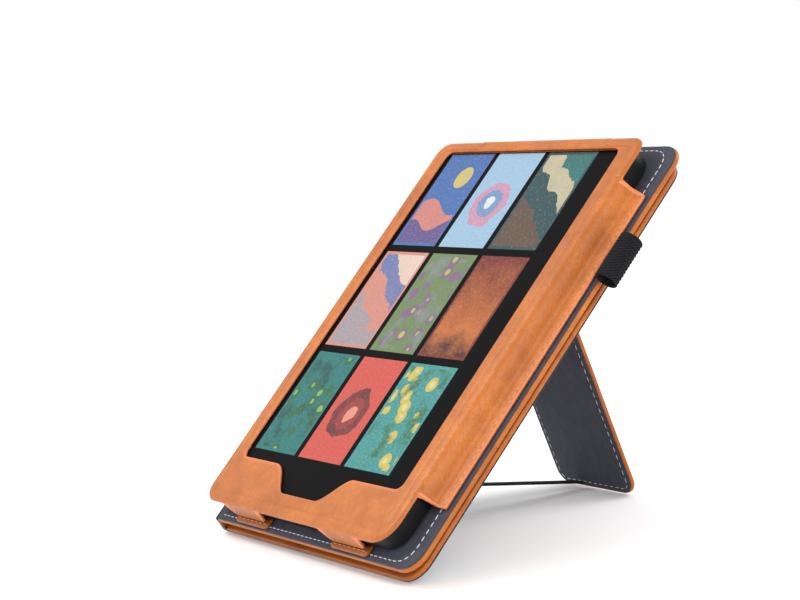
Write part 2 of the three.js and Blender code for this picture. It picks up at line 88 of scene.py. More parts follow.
@dataclass(frozen=True)
class Cover:
    """One board cover of the folio."""

    width: float = 143.0
    height: float = 189.0
    corner: float = 9.0
    thickness: float = 2.6
    lining: float = 0.6
    lining_inset: float = 0.3
    back_start: float = 1.6
    front_start: float = 5.4
    stitch_inset: float = 2.6
    lining_seam: float = 5.6


@dataclass(frozen=True)
class Spine:
    """The strip between the two covers, folded back."""

    width: float = 13.6
    depth: float = 10.8

    @property
    def lean(self) -> float:
        """The angle in radians between the spine and the covers' common normal."""
        return float(np.arccos(self.depth / self.width))


@dataclass(frozen=True)
class Reader:
    """The reader's body and its display."""

    left: float = 4.7
    bottom: float = 5.5
    back: float = 1.25
    width: float = 127.6
    height: float = 176.7
    thickness: float = 7.8
    wall: float = 1.45
    corner: float = 9.0
    picture_left: float = 12.15
    picture_bottom: float = 29.75
    picture_width: float = 97.7
    picture_height: float = 149.3
    tile_width: float = 30.53
    tile_height: float = 47.52
    tile_gap: float = 3.06
    tile_rise: float = 3.39


@dataclass(frozen=True)
class Holder:
    """The leather frame that is sewn over the reader."""

    thickness: float = 1.2
    top: float = 10.5
    left: float = 0.4
    right: float = 134.1
    heel: float = 3.4
    head: float = 185.1
    corner: float = 7.0
    corner_reader: float = 10.8
    window_left: float = 9.4
    window_right: float = 123.6
    window_bottom: float = 24.6
    window_top: float = 179.5
    window_corner: float = 3.5
    notch_left: float = 37.0
    notch_right: float = 93.5
    notch_floor: float = 13.0
    notch_slope: float = 17.0
    shoulder: float = 5.0
    bend: float = 3.6
    tab_lift: float = 2.7
    tab_out: float = 0.9
    flange: float = 4.2
    flange_bottom: float = 25.0
    flange_top: float = 165.0
    tab_half: float = 12.5
    tab_centres: tuple[float, float] = (30.0, 101.5)
    tab_reach: float = 0.1
    flap_left: float = 32.0
    flap_right: float = 112.0
    flap_reach: float = 2.2
    seam_height: float = 1.55
    crown: float = 0.35


@dataclass(frozen=True)
class Stand:
    """The kickstand on the front cover."""

    left: float = 28.5
    width: float = 50.0
    length: float = 119.5
    corner: float = 7.0
    hinge_height: float = 155.0
    hinge_depth: float = 0.125
    thickness: float = 2.5
    lining: float = 0.7


@dataclass(frozen=True)
class Lens:
    """The main camera: a long lens, low and well round to the right."""

    focal: float = 94.9
    azimuth: float = 57.45
    elevation: float = 5.46
    roll: float = 3.78
    distance: float = 0.80681
    aim: tuple[float, float, float] = (0.0, 0.060, 0.060)
    shift_right: float = -0.01778
    shift_up: float = 0.0335
    anchor: tuple[float, float, float] = (-0.0695, -0.00799, 0.00929)
    anchor_across: float = 4.0


COVER = Cover()
SPINE = Spine()
READER = Reader()
HOLDER = Holder()
STAND = Stand()


# ---- Frames --------------------------------------------------------------------------------------


@dataclass(frozen=True)
class Axes:
    """A local frame in millimetres, placed in the row frame in metres."""

    origin: np.ndarray
    x: np.ndarray
    v: np.ndarray
    w: np.ndarray

    def place(self, points: np.ndarray) -> np.ndarray:
        """Turns local millimetres into row-frame metres.

        Args:
            points: array whose last axis is (x, v, w).

        Returns:
            The same array in the row frame.
        """
        basis = np.stack([self.x, self.v, self.w])
        return self.origin + points @ basis * MM

    def moved(self, x: float, v: float, w: float) -> "Axes":
        """The same directions from another local origin."""
        return Axes(self.place(np.array([x, v, w])), self.x, self.v, self.w)

    def turned_about_x(self, angle: float) -> "Axes":
        """The frame turned about its own x by an angle in radians."""
        c, s = cos(angle), sin(angle)
        return Axes(self.origin, self.x, self.v * c + self.w * s, self.w * c - self.v * s)

    def turned_about_v(self, angle: float) -> "Axes":
        """The frame turned about its own v by an angle in radians."""
        c, s = cos(angle), sin(angle)
        return Axes(self.origin, self.x * c - self.w * s, self.v, self.w * c + self.x * s)


def joint_named(joints: Sequence[dict], name: str) -> dict:
    """The joint of that name."""
    return next(j for j in joints if j["name"] == name)


@dataclass(frozen=True)
class Places:
    """The local frames of the folio's groups."""

    folio: Axes
    spine: Axes
    front: Axes
    stand: Axes

    @classmethod
    def from_joints(cls, joints: Sequence[dict]) -> "Places":
        """Works the frames out from the two spine hinges and the kickstand's hinge."""
        back = joint_named(joints, "spine_crease_back")
        up = np.array(back["axis"], float)
        across = np.array([1.0, 0.0, 0.0])
        out = np.cross(across, up)
        half = COVER.height / 2 * MM
        folio = Axes(np.array(back["pos_m"], float) - up * half, across, up, out)
        spine = folio.turned_about_v(pi / 2 + SPINE.lean)
        crease = joint_named(joints, "spine_crease_front")
        front = Axes(np.array(crease["pos_m"], float) - up * half, across, up, out)
        swing = radians(joint_named(joints, "kickstand_hinge")["range_deg"][1])
        hinge = front.moved(0, STAND.hinge_height, -STAND.hinge_depth)
        return cls(folio, spine, front, hinge.turned_about_x(swing))


# ---- Meshes --------------------------------------------------------------------------------------


def make_object(name: str, vertices: np.ndarray, faces: Sequence, smooth: bool = True) -> bpy.types.Object:
    """Makes a mesh object at the origin, with its normals outward.

    Args:
        name: the object's name.
        vertices: (n, 3) array in metres.
        faces: lists of vertex numbers.
        smooth: whether faces are shaded smooth.

    Returns:
        The linked object.
    """
    mesh = bpy.data.meshes.new(name)
    mesh.from_pydata(np.asarray(vertices, float).reshape(-1, 3).tolist(), [], faces)
    mesh.validate()
    mesh.update()
    made = bpy.data.objects.new(name, mesh)
    bpy.context.scene.collection.objects.link(made)
    if signed_volume(mesh) < 0:
        mesh.flip_normals()
    mesh.polygons.foreach_set("use_smooth", np.full(len(mesh.polygons), smooth))
    log.info("%s: %d faces", name, len(mesh.polygons))
    return made


def signed_volume(mesh: bpy.types.Mesh) -> float:
    """The volume inside a closed mesh, negative where its normals point inward."""
    mesh.calc_loop_triangles()
    corners = np.zeros(len(mesh.loop_triangles) * 3, np.int32)
    mesh.loop_triangles.foreach_get("vertices", corners)
    points = np.zeros(len(mesh.vertices) * 3)
    mesh.vertices.foreach_get("co", points)
    a, b, c = points.reshape(-1, 3)[corners.reshape(-1, 3)].transpose(1, 0, 2)
    return float(np.einsum("ij,ij->i", a, np.cross(b, c)).sum() / 6)


def ring_faces(rings: int, around: int, closed: bool) -> np.ndarray:
    """Quads between neighbouring rings of a grid that is periodic around.

    Args:
        rings: how many rings there are.
        around: points in each ring.
        closed: whether the last ring joins the first.
    """
    steps = rings if closed else rings - 1
    i, j = np.meshgrid(np.arange(steps), np.arange(around), indexing="ij")
    nxt, right = (i + 1) % rings, (j + 1) % around
    quads = np.stack([i * around + j, i * around + right, nxt * around + right, nxt * around + j], -1)
    return quads.reshape(-1, 4)


def lofted(name: str, grid: np.ndarray, capped: bool = True) -> bpy.types.Object:
    """A closed body through a stack of rings.

    Args:
        name: the object's name.
        grid: (rings, around, 3) array in metres.
        capped: flat ends if True, else the last ring joins the first.
    """
    rings, around = grid.shape[:2]
    faces = ring_faces(rings, around, closed=not capped).tolist()
    if capped:
        faces.append(list(range(around))[::-1])
        faces.append(list(range((rings - 1) * around, rings * around)))
    return make_object(name, grid.reshape(-1, 3), faces)


def arc(cx: float, cy: float, r: float, start: float, end: float, steps: int = 10) -> np.ndarray:
    """Points on a circle's arc, angles in degrees."""
    a = np.radians(np.linspace(start, end, steps))
    return np.stack([cx + r * np.cos(a), cy + r * np.sin(a)], -1)


def rounded_rect(x0: float, y0: float, x1: float, y1: float, radii: Sequence[float]) -> np.ndarray:
    """An anticlockwise outline with radii from the bottom left corner onwards."""
    bl, br, tr, tl = (max(r, 0.02) for r in radii)
    return np.concatenate([
        arc(x0 + bl, y0 + bl, bl, 180, 270),
        arc(x1 - br, y0 + br, br, 270, 360),
        arc(x1 - tr, y1 - tr, tr, 0, 90),
        arc(x0 + tl, y1 - tl, tl, 90, 180),
    ])


def resampled(outline: np.ndarray, count: int) -> np.ndarray:
    """A closed outline with evenly spaced points."""
    ring = np.vstack([outline, outline[:1]])
    run = np.concatenate([[0], np.cumsum(np.linalg.norm(np.diff(ring, axis=0), axis=1))])
    at = np.linspace(0, run[-1], count, endpoint=False)
    return np.stack([np.interp(at, run, ring[:, k]) for k in range(2)], -1)


def outward(outline: np.ndarray) -> np.ndarray:
    """Unit normals of an anticlockwise outline, pointing out."""
    tangent = np.roll(outline, -1, axis=0) - np.roll(outline, 1, axis=0)
    normal = np.stack([tangent[:, 1], -tangent[:, 0]], -1)
    return normal / np.linalg.norm(normal, axis=1, keepdims=True)


def slab(name: str, axes: Axes, outline: np.ndarray, w0: float, w1: float, edge: float) -> bpy.types.Object:
    """A flat slab with rounded edges: the outline is offset inwards by r(1 - cos a) as height gains r sin a.

    Args:
        name: the object's name.
        axes: the frame the slab lies in.
        outline: anticlockwise (n, 2) outline in millimetres.
        w0: lower height.
        w1: upper height.
        edge: radius of the rounded edge.
    """
    edge = min(edge, (w1 - w0) / 2 - 0.01)
    a = np.linspace(0, pi / 2, 5)
    low = np.stack([edge * (1 - np.sin(a)), w0 + edge * (1 - np.cos(a))], -1)
    high = np.stack([edge * (1 - np.sin(a[::-1])), w1 - edge * (1 - np.cos(a[::-1]))], -1)
    inner = np.array([[edge + 0.6, w0]]), np.array([[edge + 0.6, w1]])
    profile = np.concatenate([inner[0], low, high, inner[1]])
    normal = outward(outline)
    rings = outline[None] - normal[None] * profile[:, None, :1]
    heights = np.broadcast_to(profile[:, None, 1:], (*rings.shape[:2], 1))
    return lofted(name, axes.place(np.concatenate([rings, heights], -1)))


def swept(name: str, axes: Axes, path: np.ndarray, v0: float, v1: float, thickness: float,
          steps: int = 60) -> bpy.types.Object:
    """A bent sheet: a line in x and w, thickened along its normals and carried from v0 to v1.

    Args:
        name: the object's name.
        axes: the frame of the sheet.
        path: (n, 2) points in x and w of one face; the body lies to its left.
        v0: start of the sheet along v.
        v1: end of the sheet along v.
        thickness: the sheet's thickness.
        steps: sections along v.
    """
    tangent = np.gradient(path, axis=0)
    tangent /= np.linalg.norm(tangent, axis=1, keepdims=True)
    left = np.stack([-tangent[:, 1], tangent[:, 0]], -1)
    loop = np.concatenate([path, (path + left * thickness)[::-1]])
    v = np.linspace(v0, v1, steps)
    grid = np.empty((steps, len(loop), 3))
    grid[:, :, 0] = loop[None, :, 0]
    grid[:, :, 1] = v[:, None]
    grid[:, :, 2] = loop[None, :, 1]
    return lofted(name, axes.place(grid))


def smooth_path(points: Sequence[tuple[float, float]], radius: float, steps: int = 8) -> np.ndarray:
    """A line through corner points with each inner corner rounded by a quadratic curve.

    Args:
        points: the corners.
        radius: how far from each corner its curve starts.
        steps: points on each curve.
    """
    corners = np.array(points, float)
    made = [corners[:1]]
    for before, here, after in zip(corners[:-2], corners[1:-1], corners[2:]):
        reach_in = min(radius, np.linalg.norm(before - here) / 2)
        reach_out = min(radius, np.linalg.norm(after - here) / 2)
        start = here + (before - here) / np.linalg.norm(before - here) * reach_in
        end = here + (after - here) / np.linalg.norm(after - here) * reach_out
        t = np.linspace(0, 1, steps)[:, None]
        made.append(start * (1 - t) ** 2 + here * 2 * t * (1 - t) + end * t**2)
    made.append(corners[-1:])
    return np.concatenate(made)


def stitches(name: str, axes: Axes, lines: Sequence[np.ndarray], pitch: float = 3.0,
             length: float = 2.2, radius: float = 0.27) -> bpy.types.Object:
    """Rows of thread stitches: each is an ellipsoid stretched along its line, half sunk in the face.

    Args:
        name: the object's name.
        axes: the frame of the lines.
        lines: (n, 3) polylines in millimetres, on the face.
        pitch: distance from stitch to stitch.
        length: each stitch's length.
        radius: the thread's radius.
    """
    theta, phi = np.meshgrid(np.linspace(0, pi, 7), np.linspace(0, 2 * pi, 8, endpoint=False), indexing="ij")
    ball = np.stack([np.cos(theta), np.sin(theta) * np.cos(phi), np.sin(theta) * np.sin(phi)], -1)
    ball = ball.reshape(-1, 3) * np.array([length / 2, radius, radius])
    body = ring_faces(7, 8, closed=False)
    centres, along = [], []
    for line in lines:
        run = np.concatenate([[0], np.cumsum(np.linalg.norm(np.diff(line, axis=0), axis=1))])
        count = max(int(run[-1] / pitch), 1)
        at = (np.arange(count) + 0.5) * run[-1] / count
        here = np.stack([np.interp(at, run, line[:, k]) for k in range(3)], -1)
        ahead = np.stack([np.interp(at + 0.1, run, line[:, k]) for k in range(3)], -1)
        behind = np.stack([np.interp(at - 0.1, run, line[:, k]) for k in range(3)], -1)
        centres.append(here)
        along.append(ahead - behind)
    middle = np.concatenate(centres)
    t = np.concatenate(along)
    t /= np.linalg.norm(t, axis=1, keepdims=True)
    up = np.tile([0.0, 0.0, 1.0], (len(t), 1))
    side = np.cross(up, t)
    side /= np.maximum(np.linalg.norm(side, axis=1, keepdims=True), 1e-6)
    up = np.cross(t, side)
    points = (middle[:, None] + ball[None, :, :1] * t[:, None] + ball[None, :, 1:2] * side[:, None]
              + ball[None, :, 2:] * up[:, None])
    offsets = np.arange(len(middle))[:, None, None] * len(ball)
    faces = (body[None] + offsets).reshape(-1, 4).tolist()
    return make_object(name, axes.place(points.reshape(-1, 3)), faces)


def line(points: Sequence[tuple[float, float]], w: float, corner: float = 0.0) -> np.ndarray:
    """A polyline in x and v at one height, with its corners rounded."""
    flat = smooth_path(points, corner) if corner else np.array(points, float)
    return np.column_stack([flat, np.full(len(flat), w)])


# ---- Shading -------------------------------------------------------------------------------------


class Field:
    """A shader socket that takes part in arithmetic."""

    def __init__(self, tree: "Shader", socket: bpy.types.NodeSocket) -> None:
        self.tree = tree
        self.socket = socket

    def _math(self, kind: str, *others: "Field | float", swap: bool = False) -> "Field":
        """One step of arithmetic, with the operands the other way round where swap is set."""
        values = (self, *others)
        if swap:
            values = values[::-1]
        return self.tree.node("ShaderNodeMath", values, operation=kind)

    def __add__(self, other: "Field | float") -> "Field":
        return self._math("ADD", other)

    __radd__ = __add__

    def __mul__(self, other: "Field | float") -> "Field":
        return self._math("MULTIPLY", other)

    __rmul__ = __mul__

    def __sub__(self, other: "Field | float") -> "Field":
        return self._math("SUBTRACT", other)

    def __rsub__(self, other: "Field | float") -> "Field":
        return self._math("SUBTRACT", other, swap=True)

    def __truediv__(self, other: "Field | float") -> "Field":
        return self._math("DIVIDE", other)

    def __gt__(self, other: "Field | float") -> "Field":
        return self._math("GREATER_THAN", other)

    def __lt__(self, other: "Field | float") -> "Field":
        return self._math("LESS_THAN", other)

    def __pow__(self, other: "Field | float") -> "Field":
        return self._math("POWER", other)

    def __abs__(self) -> "Field":
        return self._math("ABSOLUTE")

    def sine(self) -> "Field":
        """The sine of the value in radians."""
        return self._math("SINE")

    def whole(self) -> "Field":
        """The value rounded down."""
        return self._math("FLOOR")

    def root(self) -> "Field":
        """The square root."""
        return self._math("SQRT")

    def clamped(self) -> "Field":
        """The value kept between 0 and 1."""
        made = self._math("ADD", 0.0)
        made.socket.node.use_clamp = True
        return made


Value = Field | float | tuple[float, float, float]


class Shader:
    """Builds one material's nodes."""

    def __init__(self, name: str) -> None:
        self.material = bpy.data.materials.new(name)
        self.material.use_nodes = True
        self.nodes = self.material.node_tree.nodes
        self.links = self.material.node_tree.links
        self.bsdf = self.nodes["Principled BSDF"]

    def put(self, socket: bpy.types.NodeSocket, value: Value) -> None:
        """Links a field to a socket, or sets a constant on it."""
        if isinstance(value, Field):
            self.links.new(value.socket, socket)
        elif isinstance(value, tuple) and socket.type == "RGBA":
            socket.default_value = (*value, 1.0)
        else:
            socket.default_value = value

    def node(self, kind: str, values: Sequence[Value] = (), output: int = 0, named: dict | None = None,
             **settings: object) -> Field:
        """Adds a node, fills its inputs in order and by name, and returns one output."""
        made = self.nodes.new(kind)
        for key, setting in settings.items():
            setattr(made, key, setting)
        for socket, value in zip(made.inputs, values):
            self.put(socket, value)
        for key, value in (named or {}).items():
            self.put(made.inputs[key], value)
        return Field(self, made.outputs[output])

    def coordinates(self, scale: tuple[float, float, float] = (1.0, 1.0, 1.0)) -> Field:
        """Object coordinates in metres, scaled by a Mapping node."""
        raw = self.node("ShaderNodeTexCoord", output=3)
        return self.node("ShaderNodeMapping", named={"Vector": raw, "Scale": scale})

    def noise(self, scale: float, detail: float = 4.0, at: Field | None = None,
              roughness: float = 0.5) -> Field:
        """Noise in 0 to 1 over object coordinates."""
        place = at or self.coordinates()
        return self.node("ShaderNodeTexNoise", named={
            "Vector": place, "Scale": scale, "Detail": detail, "Roughness": roughness})

    def cells(self, scale: float, at: Field | None = None) -> Field:
        """Distance to the nearest point of a random scatter."""
        place = at or self.coordinates()
        return self.node("ShaderNodeTexVoronoi", named={"Vector": place, "Scale": scale})

    def mix(self, share: Field | float, a: Value, b: Value) -> Field:
        """Colour a where share is 0 and colour b where it is 1."""
        made = self.nodes.new("ShaderNodeMix")
        made.data_type = "RGBA"
        self.put(made.inputs[0], share)
        self.put(made.inputs[6], a)
        self.put(made.inputs[7], b)
        return Field(self, made.outputs[2])

    def attribute(self, name: str) -> Field:
        """A vertex attribute's value."""
        return self.node("ShaderNodeAttribute", output=2, attribute_name=name)

    def uv(self) -> tuple[Field, Field]:
        """The two parts of the UV map, in millimetres."""
        raw = self.node("ShaderNodeUVMap", uv_map="millimetres")
        parts = self.node("ShaderNodeSeparateXYZ", (raw,))
        return parts, Field(self, parts.socket.node.outputs[1])

    def bump(self, height: Field, distance: float, strength: float = 1.0) -> Field:
        """A bumped normal, the distance in metres."""
        return self.node("ShaderNodeBump", named={
            "Height": height, "Distance": distance, "Strength": strength})

    def surface(self, **inputs: Value) -> bpy.types.Material:
        """Sets the surface's inputs by name, with underscores for spaces, and returns the material."""
        for key, value in inputs.items():
            self.put(self.bsdf.inputs[key.replace("_", " ")], value)
        return self.material


Colour = tuple[float, float, float]


def from_hex(code: str) -> Colour:
    """A linear colour from a display colour written as six hexadecimal digits."""
    parts = np.array([int(code[k:k + 2], 16) / 255 for k in (0, 2, 4)])
    linear = np.where(parts <= 0.04045, parts / 12.92, ((parts + 0.055) / 1.055) ** 2.4)
    return tuple(float(c) for c in linear)


@dataclass(frozen=True)
class Leather:
    """Smooth tanned hide: fine pebbled grain, soft colour drift and a paler raw edge."""

    name: str
    base: Colour
    deep: Colour
    raw: Colour
    roughness: float = 0.42

    def build(self) -> bpy.types.Material:
        """The material."""
        s = Shader(self.name)
        drift = s.noise(30.0, 5.0, roughness=0.62)
        smoke = s.noise(120.0, 5.0, roughness=0.65)
        pores = s.cells(1300.0)
        grain = s.noise(700.0, 6.0, roughness=0.65)
        edge = s.attribute("raw_edge")
        rubbed = ((drift - 0.3) * 1.9 + (smoke - 0.5) * 1.1).clamped()
        shade = s.mix(rubbed, self.deep, self.base)
        speck = s.mix((((grain - 0.46) * 7.0).clamped() * 0.6 + pores * 0.4) * 0.6, shade, self.deep)
        fibres = s.mix(s.noise(2600.0, 3.0), self.raw, self.base)
        colour = s.mix(edge, speck, fibres)
        height = pores * 0.7 + grain * 0.8
        return s.surface(
            Base_Color=colour,
            Roughness=(self.roughness + (grain - 0.5) * 0.22 + edge * 0.3).clamped(),
            Normal=s.bump(height, 0.0002, 0.6),
            Specular_IOR_Level=0.35,
            Coat_Weight=0.06,
            Coat_Roughness=0.3,
        )


@dataclass(frozen=True)
class Microfibre:
    """Short-napped lining cloth: brushed fibres and a faint two-way drift."""

    name: str
    base: Colour
    pale: Colour

    def build(self) -> bpy.types.Material:
        """The material."""
        s = Shader(self.name)
        nap = s.noise(420.0, 6.0, at=s.coordinates((1.0, 0.35, 0.35)), roughness=0.7)
        fuzz = s.noise(3200.0, 2.0)
        drift = s.noise(40.0, 3.0)
        share = ((nap - 0.4) * 1.6 + (fuzz - 0.5) * 0.7 + (drift - 0.5) * 0.6).clamped()
        return s.surface(
            Base_Color=s.mix(share, self.base, self.pale),
            Roughness=0.9,
            Normal=s.bump(fuzz * 0.6 + nap, 0.00012, 0.5),
            Sheen_Weight=0.12,
            Sheen_Roughness=0.5,
        )


@dataclass(frozen=True)
class Webbing:
    """Woven elastic: ribs across the band and fine threads along it, with a painted highlight on their crests
    and painted shade in their grooves.
    """

    name: str
    base: Colour
    pale: Colour
    rib: float = 0.9

    def build(self) -> bpy.types.Material:
        """The material."""
        s = Shader(self.name)
        raw = s.coordinates()
        parts = s.node("ShaderNodeSeparateXYZ", (raw,))
        across = parts
        along = Field(s, parts.socket.node.outputs[2])
        ribs = (along * (2 * pi / (self.rib * MM))).sine()
        threads = (across * (2 * pi / (0.45 * MM))).sine()
        height = ribs * 0.5 + threads * 0.3
        # The colour follows the ribs' and threads' height: the paler crests are a painted highlight and the
        # darker grooves painted shade; the noise adds a random fleck.
        share = (height * 0.5 + 0.4 + (s.noise(1800.0) - 0.5) * 0.8).clamped()
        return s.surface(
            Base_Color=s.mix(share, self.base, self.pale),
            Roughness=0.85,
            Specular_IOR_Level=0.15,
            Normal=s.bump(height, 0.00015, 0.8),
        )


@dataclass(frozen=True)
class Thread:
    """Waxed sewing thread: a slight twist and pale fibres."""

    name: str
    base: Colour

    def build(self) -> bpy.types.Material:
        """The material."""
        s = Shader(self.name)
        twist = s.noise(2400.0, 3.0)
        shade = tuple(c * 0.72 for c in self.base)
        return s.surface(
            Base_Color=s.mix(twist, shade, self.base),
            Roughness=0.62,
            Normal=s.bump(twist, 0.0001, 0.6),
        )


@dataclass(frozen=True)
class Moulded:
    """Moulded plastic or coated metal with a fine even texture."""

    name: str
    base: Colour
    roughness: float = 0.5
    metallic: float = 0.0
    drift: float = 0.08
    shine: float = 0.5

    def build(self) -> bpy.types.Material:
        """The material."""
        s = Shader(self.name)
        speckle = s.noise(2200.0, 2.0)
        cloud = s.noise(60.0, 3.0)
        pale = tuple(min(1.0, c * 1.35 + 0.004) for c in self.base)
        return s.surface(
            Base_Color=s.mix((cloud * 0.6 + speckle * 0.4).clamped(), self.base, pale),
            Roughness=(self.roughness + (speckle - 0.5) * self.drift * 2
                       + (cloud - 0.5) * self.drift).clamped(),
            Metallic=self.metallic,
            Specular_IOR_Level=self.shine,
            Normal=s.bump(speckle, 0.00004, 0.35),
        )


class Motif(Enum):
    """The kinds of picture on the display's tiles."""

    HILLS = "hills"
    RINGS = "rings"
    LEAVES = "leaves"
    BANDS = "bands"
    GLOW = "glow"


@dataclass(frozen=True)
class Tile:
    """One printed picture: a motif in four colours."""

    motif: Motif
    ground: Colour
    first: Colour
    second: Colour
    accent: Colour


TILES = (
    Tile(Motif.HILLS, from_hex("3f6fb5"), from_hex("e58a70"), from_hex("6a4a8a"), from_hex("e8cf58")),
    Tile(Motif.RINGS, from_hex("9fc4de"), from_hex("d98ca8"), from_hex("6f8fc0"), from_hex("eef0ea")),
    Tile(Motif.BANDS, from_hex("1f4a50"), from_hex("6a4a36"), from_hex("d8cba8"), from_hex("2d7a78")),
    Tile(Motif.BANDS, from_hex("d98f7c"), from_hex("9aa0a8"), from_hex("4a78b8"), from_hex("ecd8c8")),
    Tile(Motif.LEAVES, from_hex("6f8a5a"), from_hex("8a5a94"), from_hex("8c8f96"), from_hex("c9c25a")),
    Tile(Motif.GLOW, from_hex("7a1f1c"), from_hex("ec8a3a"), from_hex("3a1416"), from_hex("f3c069")),
    Tile(Motif.LEAVES, from_hex("1f7a78"), from_hex("2f6a3c"), from_hex("0f4a4c"), from_hex("8fbf6a")),
    Tile(Motif.RINGS, from_hex("d9564a"), from_hex("4a1c24"), from_hex("8f2f30"), from_hex("f0a088")),
    Tile(Motif.LEAVES, from_hex("3a9a98"), from_hex("e8c84a"), from_hex("2a6a3a"), from_hex("f3e39a")),
)


@dataclass(frozen=True)
class Screen:
    """Matt glass over a printed-looking page: three rows of three tiles on a black ground."""

    name: str
    bezel: Colour = from_hex("050506")
    page: Colour = from_hex("08080a")

    def picture(self, s: Shader, tile: Tile, a: Field, b: Field, salt: float) -> Field:
        """One tile's colours, from its own coordinates a and b in 0 to 1."""
        place = s.node("ShaderNodeCombineXYZ", (a + salt, b * 1.5 + salt, 0.0))
        cloud = s.noise(3.0, 3.0, at=place)
        if tile.motif is Motif.HILLS:
            ridge = (a * 5.0 + salt).sine() * 0.09 + 0.42
            ground = s.mix(b < ridge, tile.ground, tile.first)
            near = (a * 7.0 + salt * 2).sine() * 0.06 + 0.22
            body = s.mix(b < near, ground, tile.second)
            sun = (((a - 0.62) ** 2.0) + ((b - 0.74) ** 2.0) * 2.2).root() < 0.17
            made = s.mix(sun, body, tile.accent)
        elif tile.motif is Motif.RINGS:
            far = (((a - 0.5) ** 2.0) + ((b - 0.46) ** 2.0) * 2.4).root() + (cloud - 0.5) * 0.25
            body = s.mix(far < 0.36, tile.ground, tile.first)
            inner = s.mix(far < 0.22, body, tile.second)
            made = s.mix(far < 0.09, inner, tile.accent)
        elif tile.motif is Motif.BANDS:
            slope = b + (a - 0.5) * 0.5 + (cloud - 0.5) * 0.3
            body = s.mix(slope > 0.35, tile.first, tile.ground)
            upper = s.mix(slope > 0.62, body, tile.second)
            made = s.mix(slope > 0.86, upper, tile.accent)
        elif tile.motif is Motif.LEAVES:
            spots = s.cells(4.2, at=place)
            petals = spots + (cloud - 0.5) * 0.3
            body = s.mix(petals > 0.42, tile.first, tile.ground)
            veins = s.mix(petals < 0.2, body, tile.accent)
            made = s.mix((cloud - 0.52) * 8.0, veins, tile.second)
        else:
            rise = (b + (cloud - 0.5) * 0.5).clamped()
            body = s.mix(rise, tile.first, tile.ground)
            made = s.mix(((0.24 - rise) * 5.0).clamped(), body, tile.second)
        wash = s.mix(cloud * 0.35, made, tile.ground)
        rim = (a > 0.045) * (a < 0.955) * (b > 0.03) * (b < 0.97)
        shown = s.mix(rim, tile.ground, wash)
        flecks = s.noise(26.0, 4.0, at=place)
        printed = s.mix(((flecks - 0.5) * 3.0).clamped() * 0.3, shown, tile.accent)
        shaded = s.mix(((0.46 - flecks) * 4.0).clamped() * 0.3, printed, tile.second)
        muted = s.mix(0.16, shaded, (0.26, 0.26, 0.26))
        return s.mix(0.32, muted, (0.0, 0.0, 0.0))

    def build(self) -> bpy.types.Material:
        """The material."""
        s = Shader(self.name)
        x, v = s.uv()
        x = x - READER.picture_left
        v = v - READER.picture_bottom
        pitch_x = READER.tile_width + READER.tile_gap
        pitch_v = READER.tile_height + READER.tile_rise
        column = (x / pitch_x).whole()
        row = (v / pitch_v).whole()
        a = (x - column * pitch_x) / READER.tile_width
        b = (v - row * pitch_v) / READER.tile_height
        colour = self.page
        for number, tile in enumerate(TILES):
            c, r = number % 3, 2 - number // 3
            near = (abs(column - c) < 0.5) * (abs(row - r) < 0.5) * (a < 1.0) * (b < 1.0)
            colour = s.mix(near, colour, self.picture(s, tile, a, b, 1.7 * number + 0.4))
        border = 2.2
        inside = ((x > -border) * (x < READER.picture_width + border)
                  * (v > -border) * (v < READER.picture_height + border))
        whole = s.mix(inside, self.bezel, colour)
        grain = s.noise(5200.0, 2.0)
        return s.surface(
            Base_Color=s.mix((grain - 0.5) * 0.12 + 0.03, whole, self.bezel),
            Roughness=0.42 + inside * 0.06 + (grain - 0.5) * 0.05,
            Specular_IOR_Level=0.03,
            Normal=s.bump(grain, 0.00002, 0.25),
        )


class Slot(str, Enum):
    """The record's material slots."""

    LEATHER = "tan_leather"
    LINING = "navy_lining"
    ELASTIC = "black_elastic"
    GLASS = "dark_glass"


@dataclass
class Finishes:
    """The materials, made once."""

    made: dict[str, bpy.types.Material] = field(default_factory=dict)

    def add(self, *finishes: object) -> None:
        """Builds finishes and keeps them by name."""
        for finish in finishes:
            self.made[finish.name] = finish.build()

    def wear(self, piece: bpy.types.Object, name: str) -> None:
        """Puts one finish on a piece."""
        piece.data.materials.clear()
        piece.data.materials.append(self.made[name])


def all_finishes() -> Finishes:
    """The object's finishes."""
    kept = Finishes()
    kept.add(
        Leather("tan_leather", from_hex("c26d20"), from_hex("985010"), from_hex("e38a6c")),
        # A darker copy of the tan leather for the tab ends: painted shade under the frame's overhanging edge.
        Leather("shaded_tab_leather", from_hex("a4581f"), from_hex("834516"), from_hex("e08c70")),
        Microfibre("navy_lining", from_hex("202232"), from_hex("3d4051")),
        Webbing("black_elastic", from_hex("08080a"), from_hex("242428")),
        Thread("white_thread", from_hex("d2d1cd")),
        Thread("tan_thread", from_hex("c98f58")),
        Moulded("black_plastic", from_hex("08090a"), 0.42, shine=0.2),
        Moulded("grey_board", from_hex("8d8578"), 0.9),
        Moulded("bright_metal", from_hex("b8babd"), 0.32, 0.95),
        Moulded("circuit_board", from_hex("1f5a38"), 0.5),
        Moulded("battery_foil", from_hex("3d3f44"), 0.45),
        Moulded("amber_film", from_hex("b9742a"), 0.4),
        Moulded("clear_guide", from_hex("dfe6ea"), 0.15),
        Moulded("paper_panel", from_hex("cfcfc9"), 0.6),
        Screen("screen"),
    )
    return kept


def attach(piece: bpy.types.Object, body: str, slot: Slot, *nodes: str) -> bpy.types.Object:
    """Puts a piece on a body and hides the nodes that it stands for."""
    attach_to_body(piece, body)
    if nodes:
        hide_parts(*nodes)
    return piece


def mark_edge(piece: bpy.types.Object, share: np.ndarray) -> None:
    """Stores how raw the leather's cut edge is at each vertex."""
    kept = piece.data.attributes.new("raw_edge", "FLOAT", "POINT")
    kept.data.foreach_set("value", share.astype(np.float32))


# ---- Sub-assemblies ------------------------------------------------------------------------------


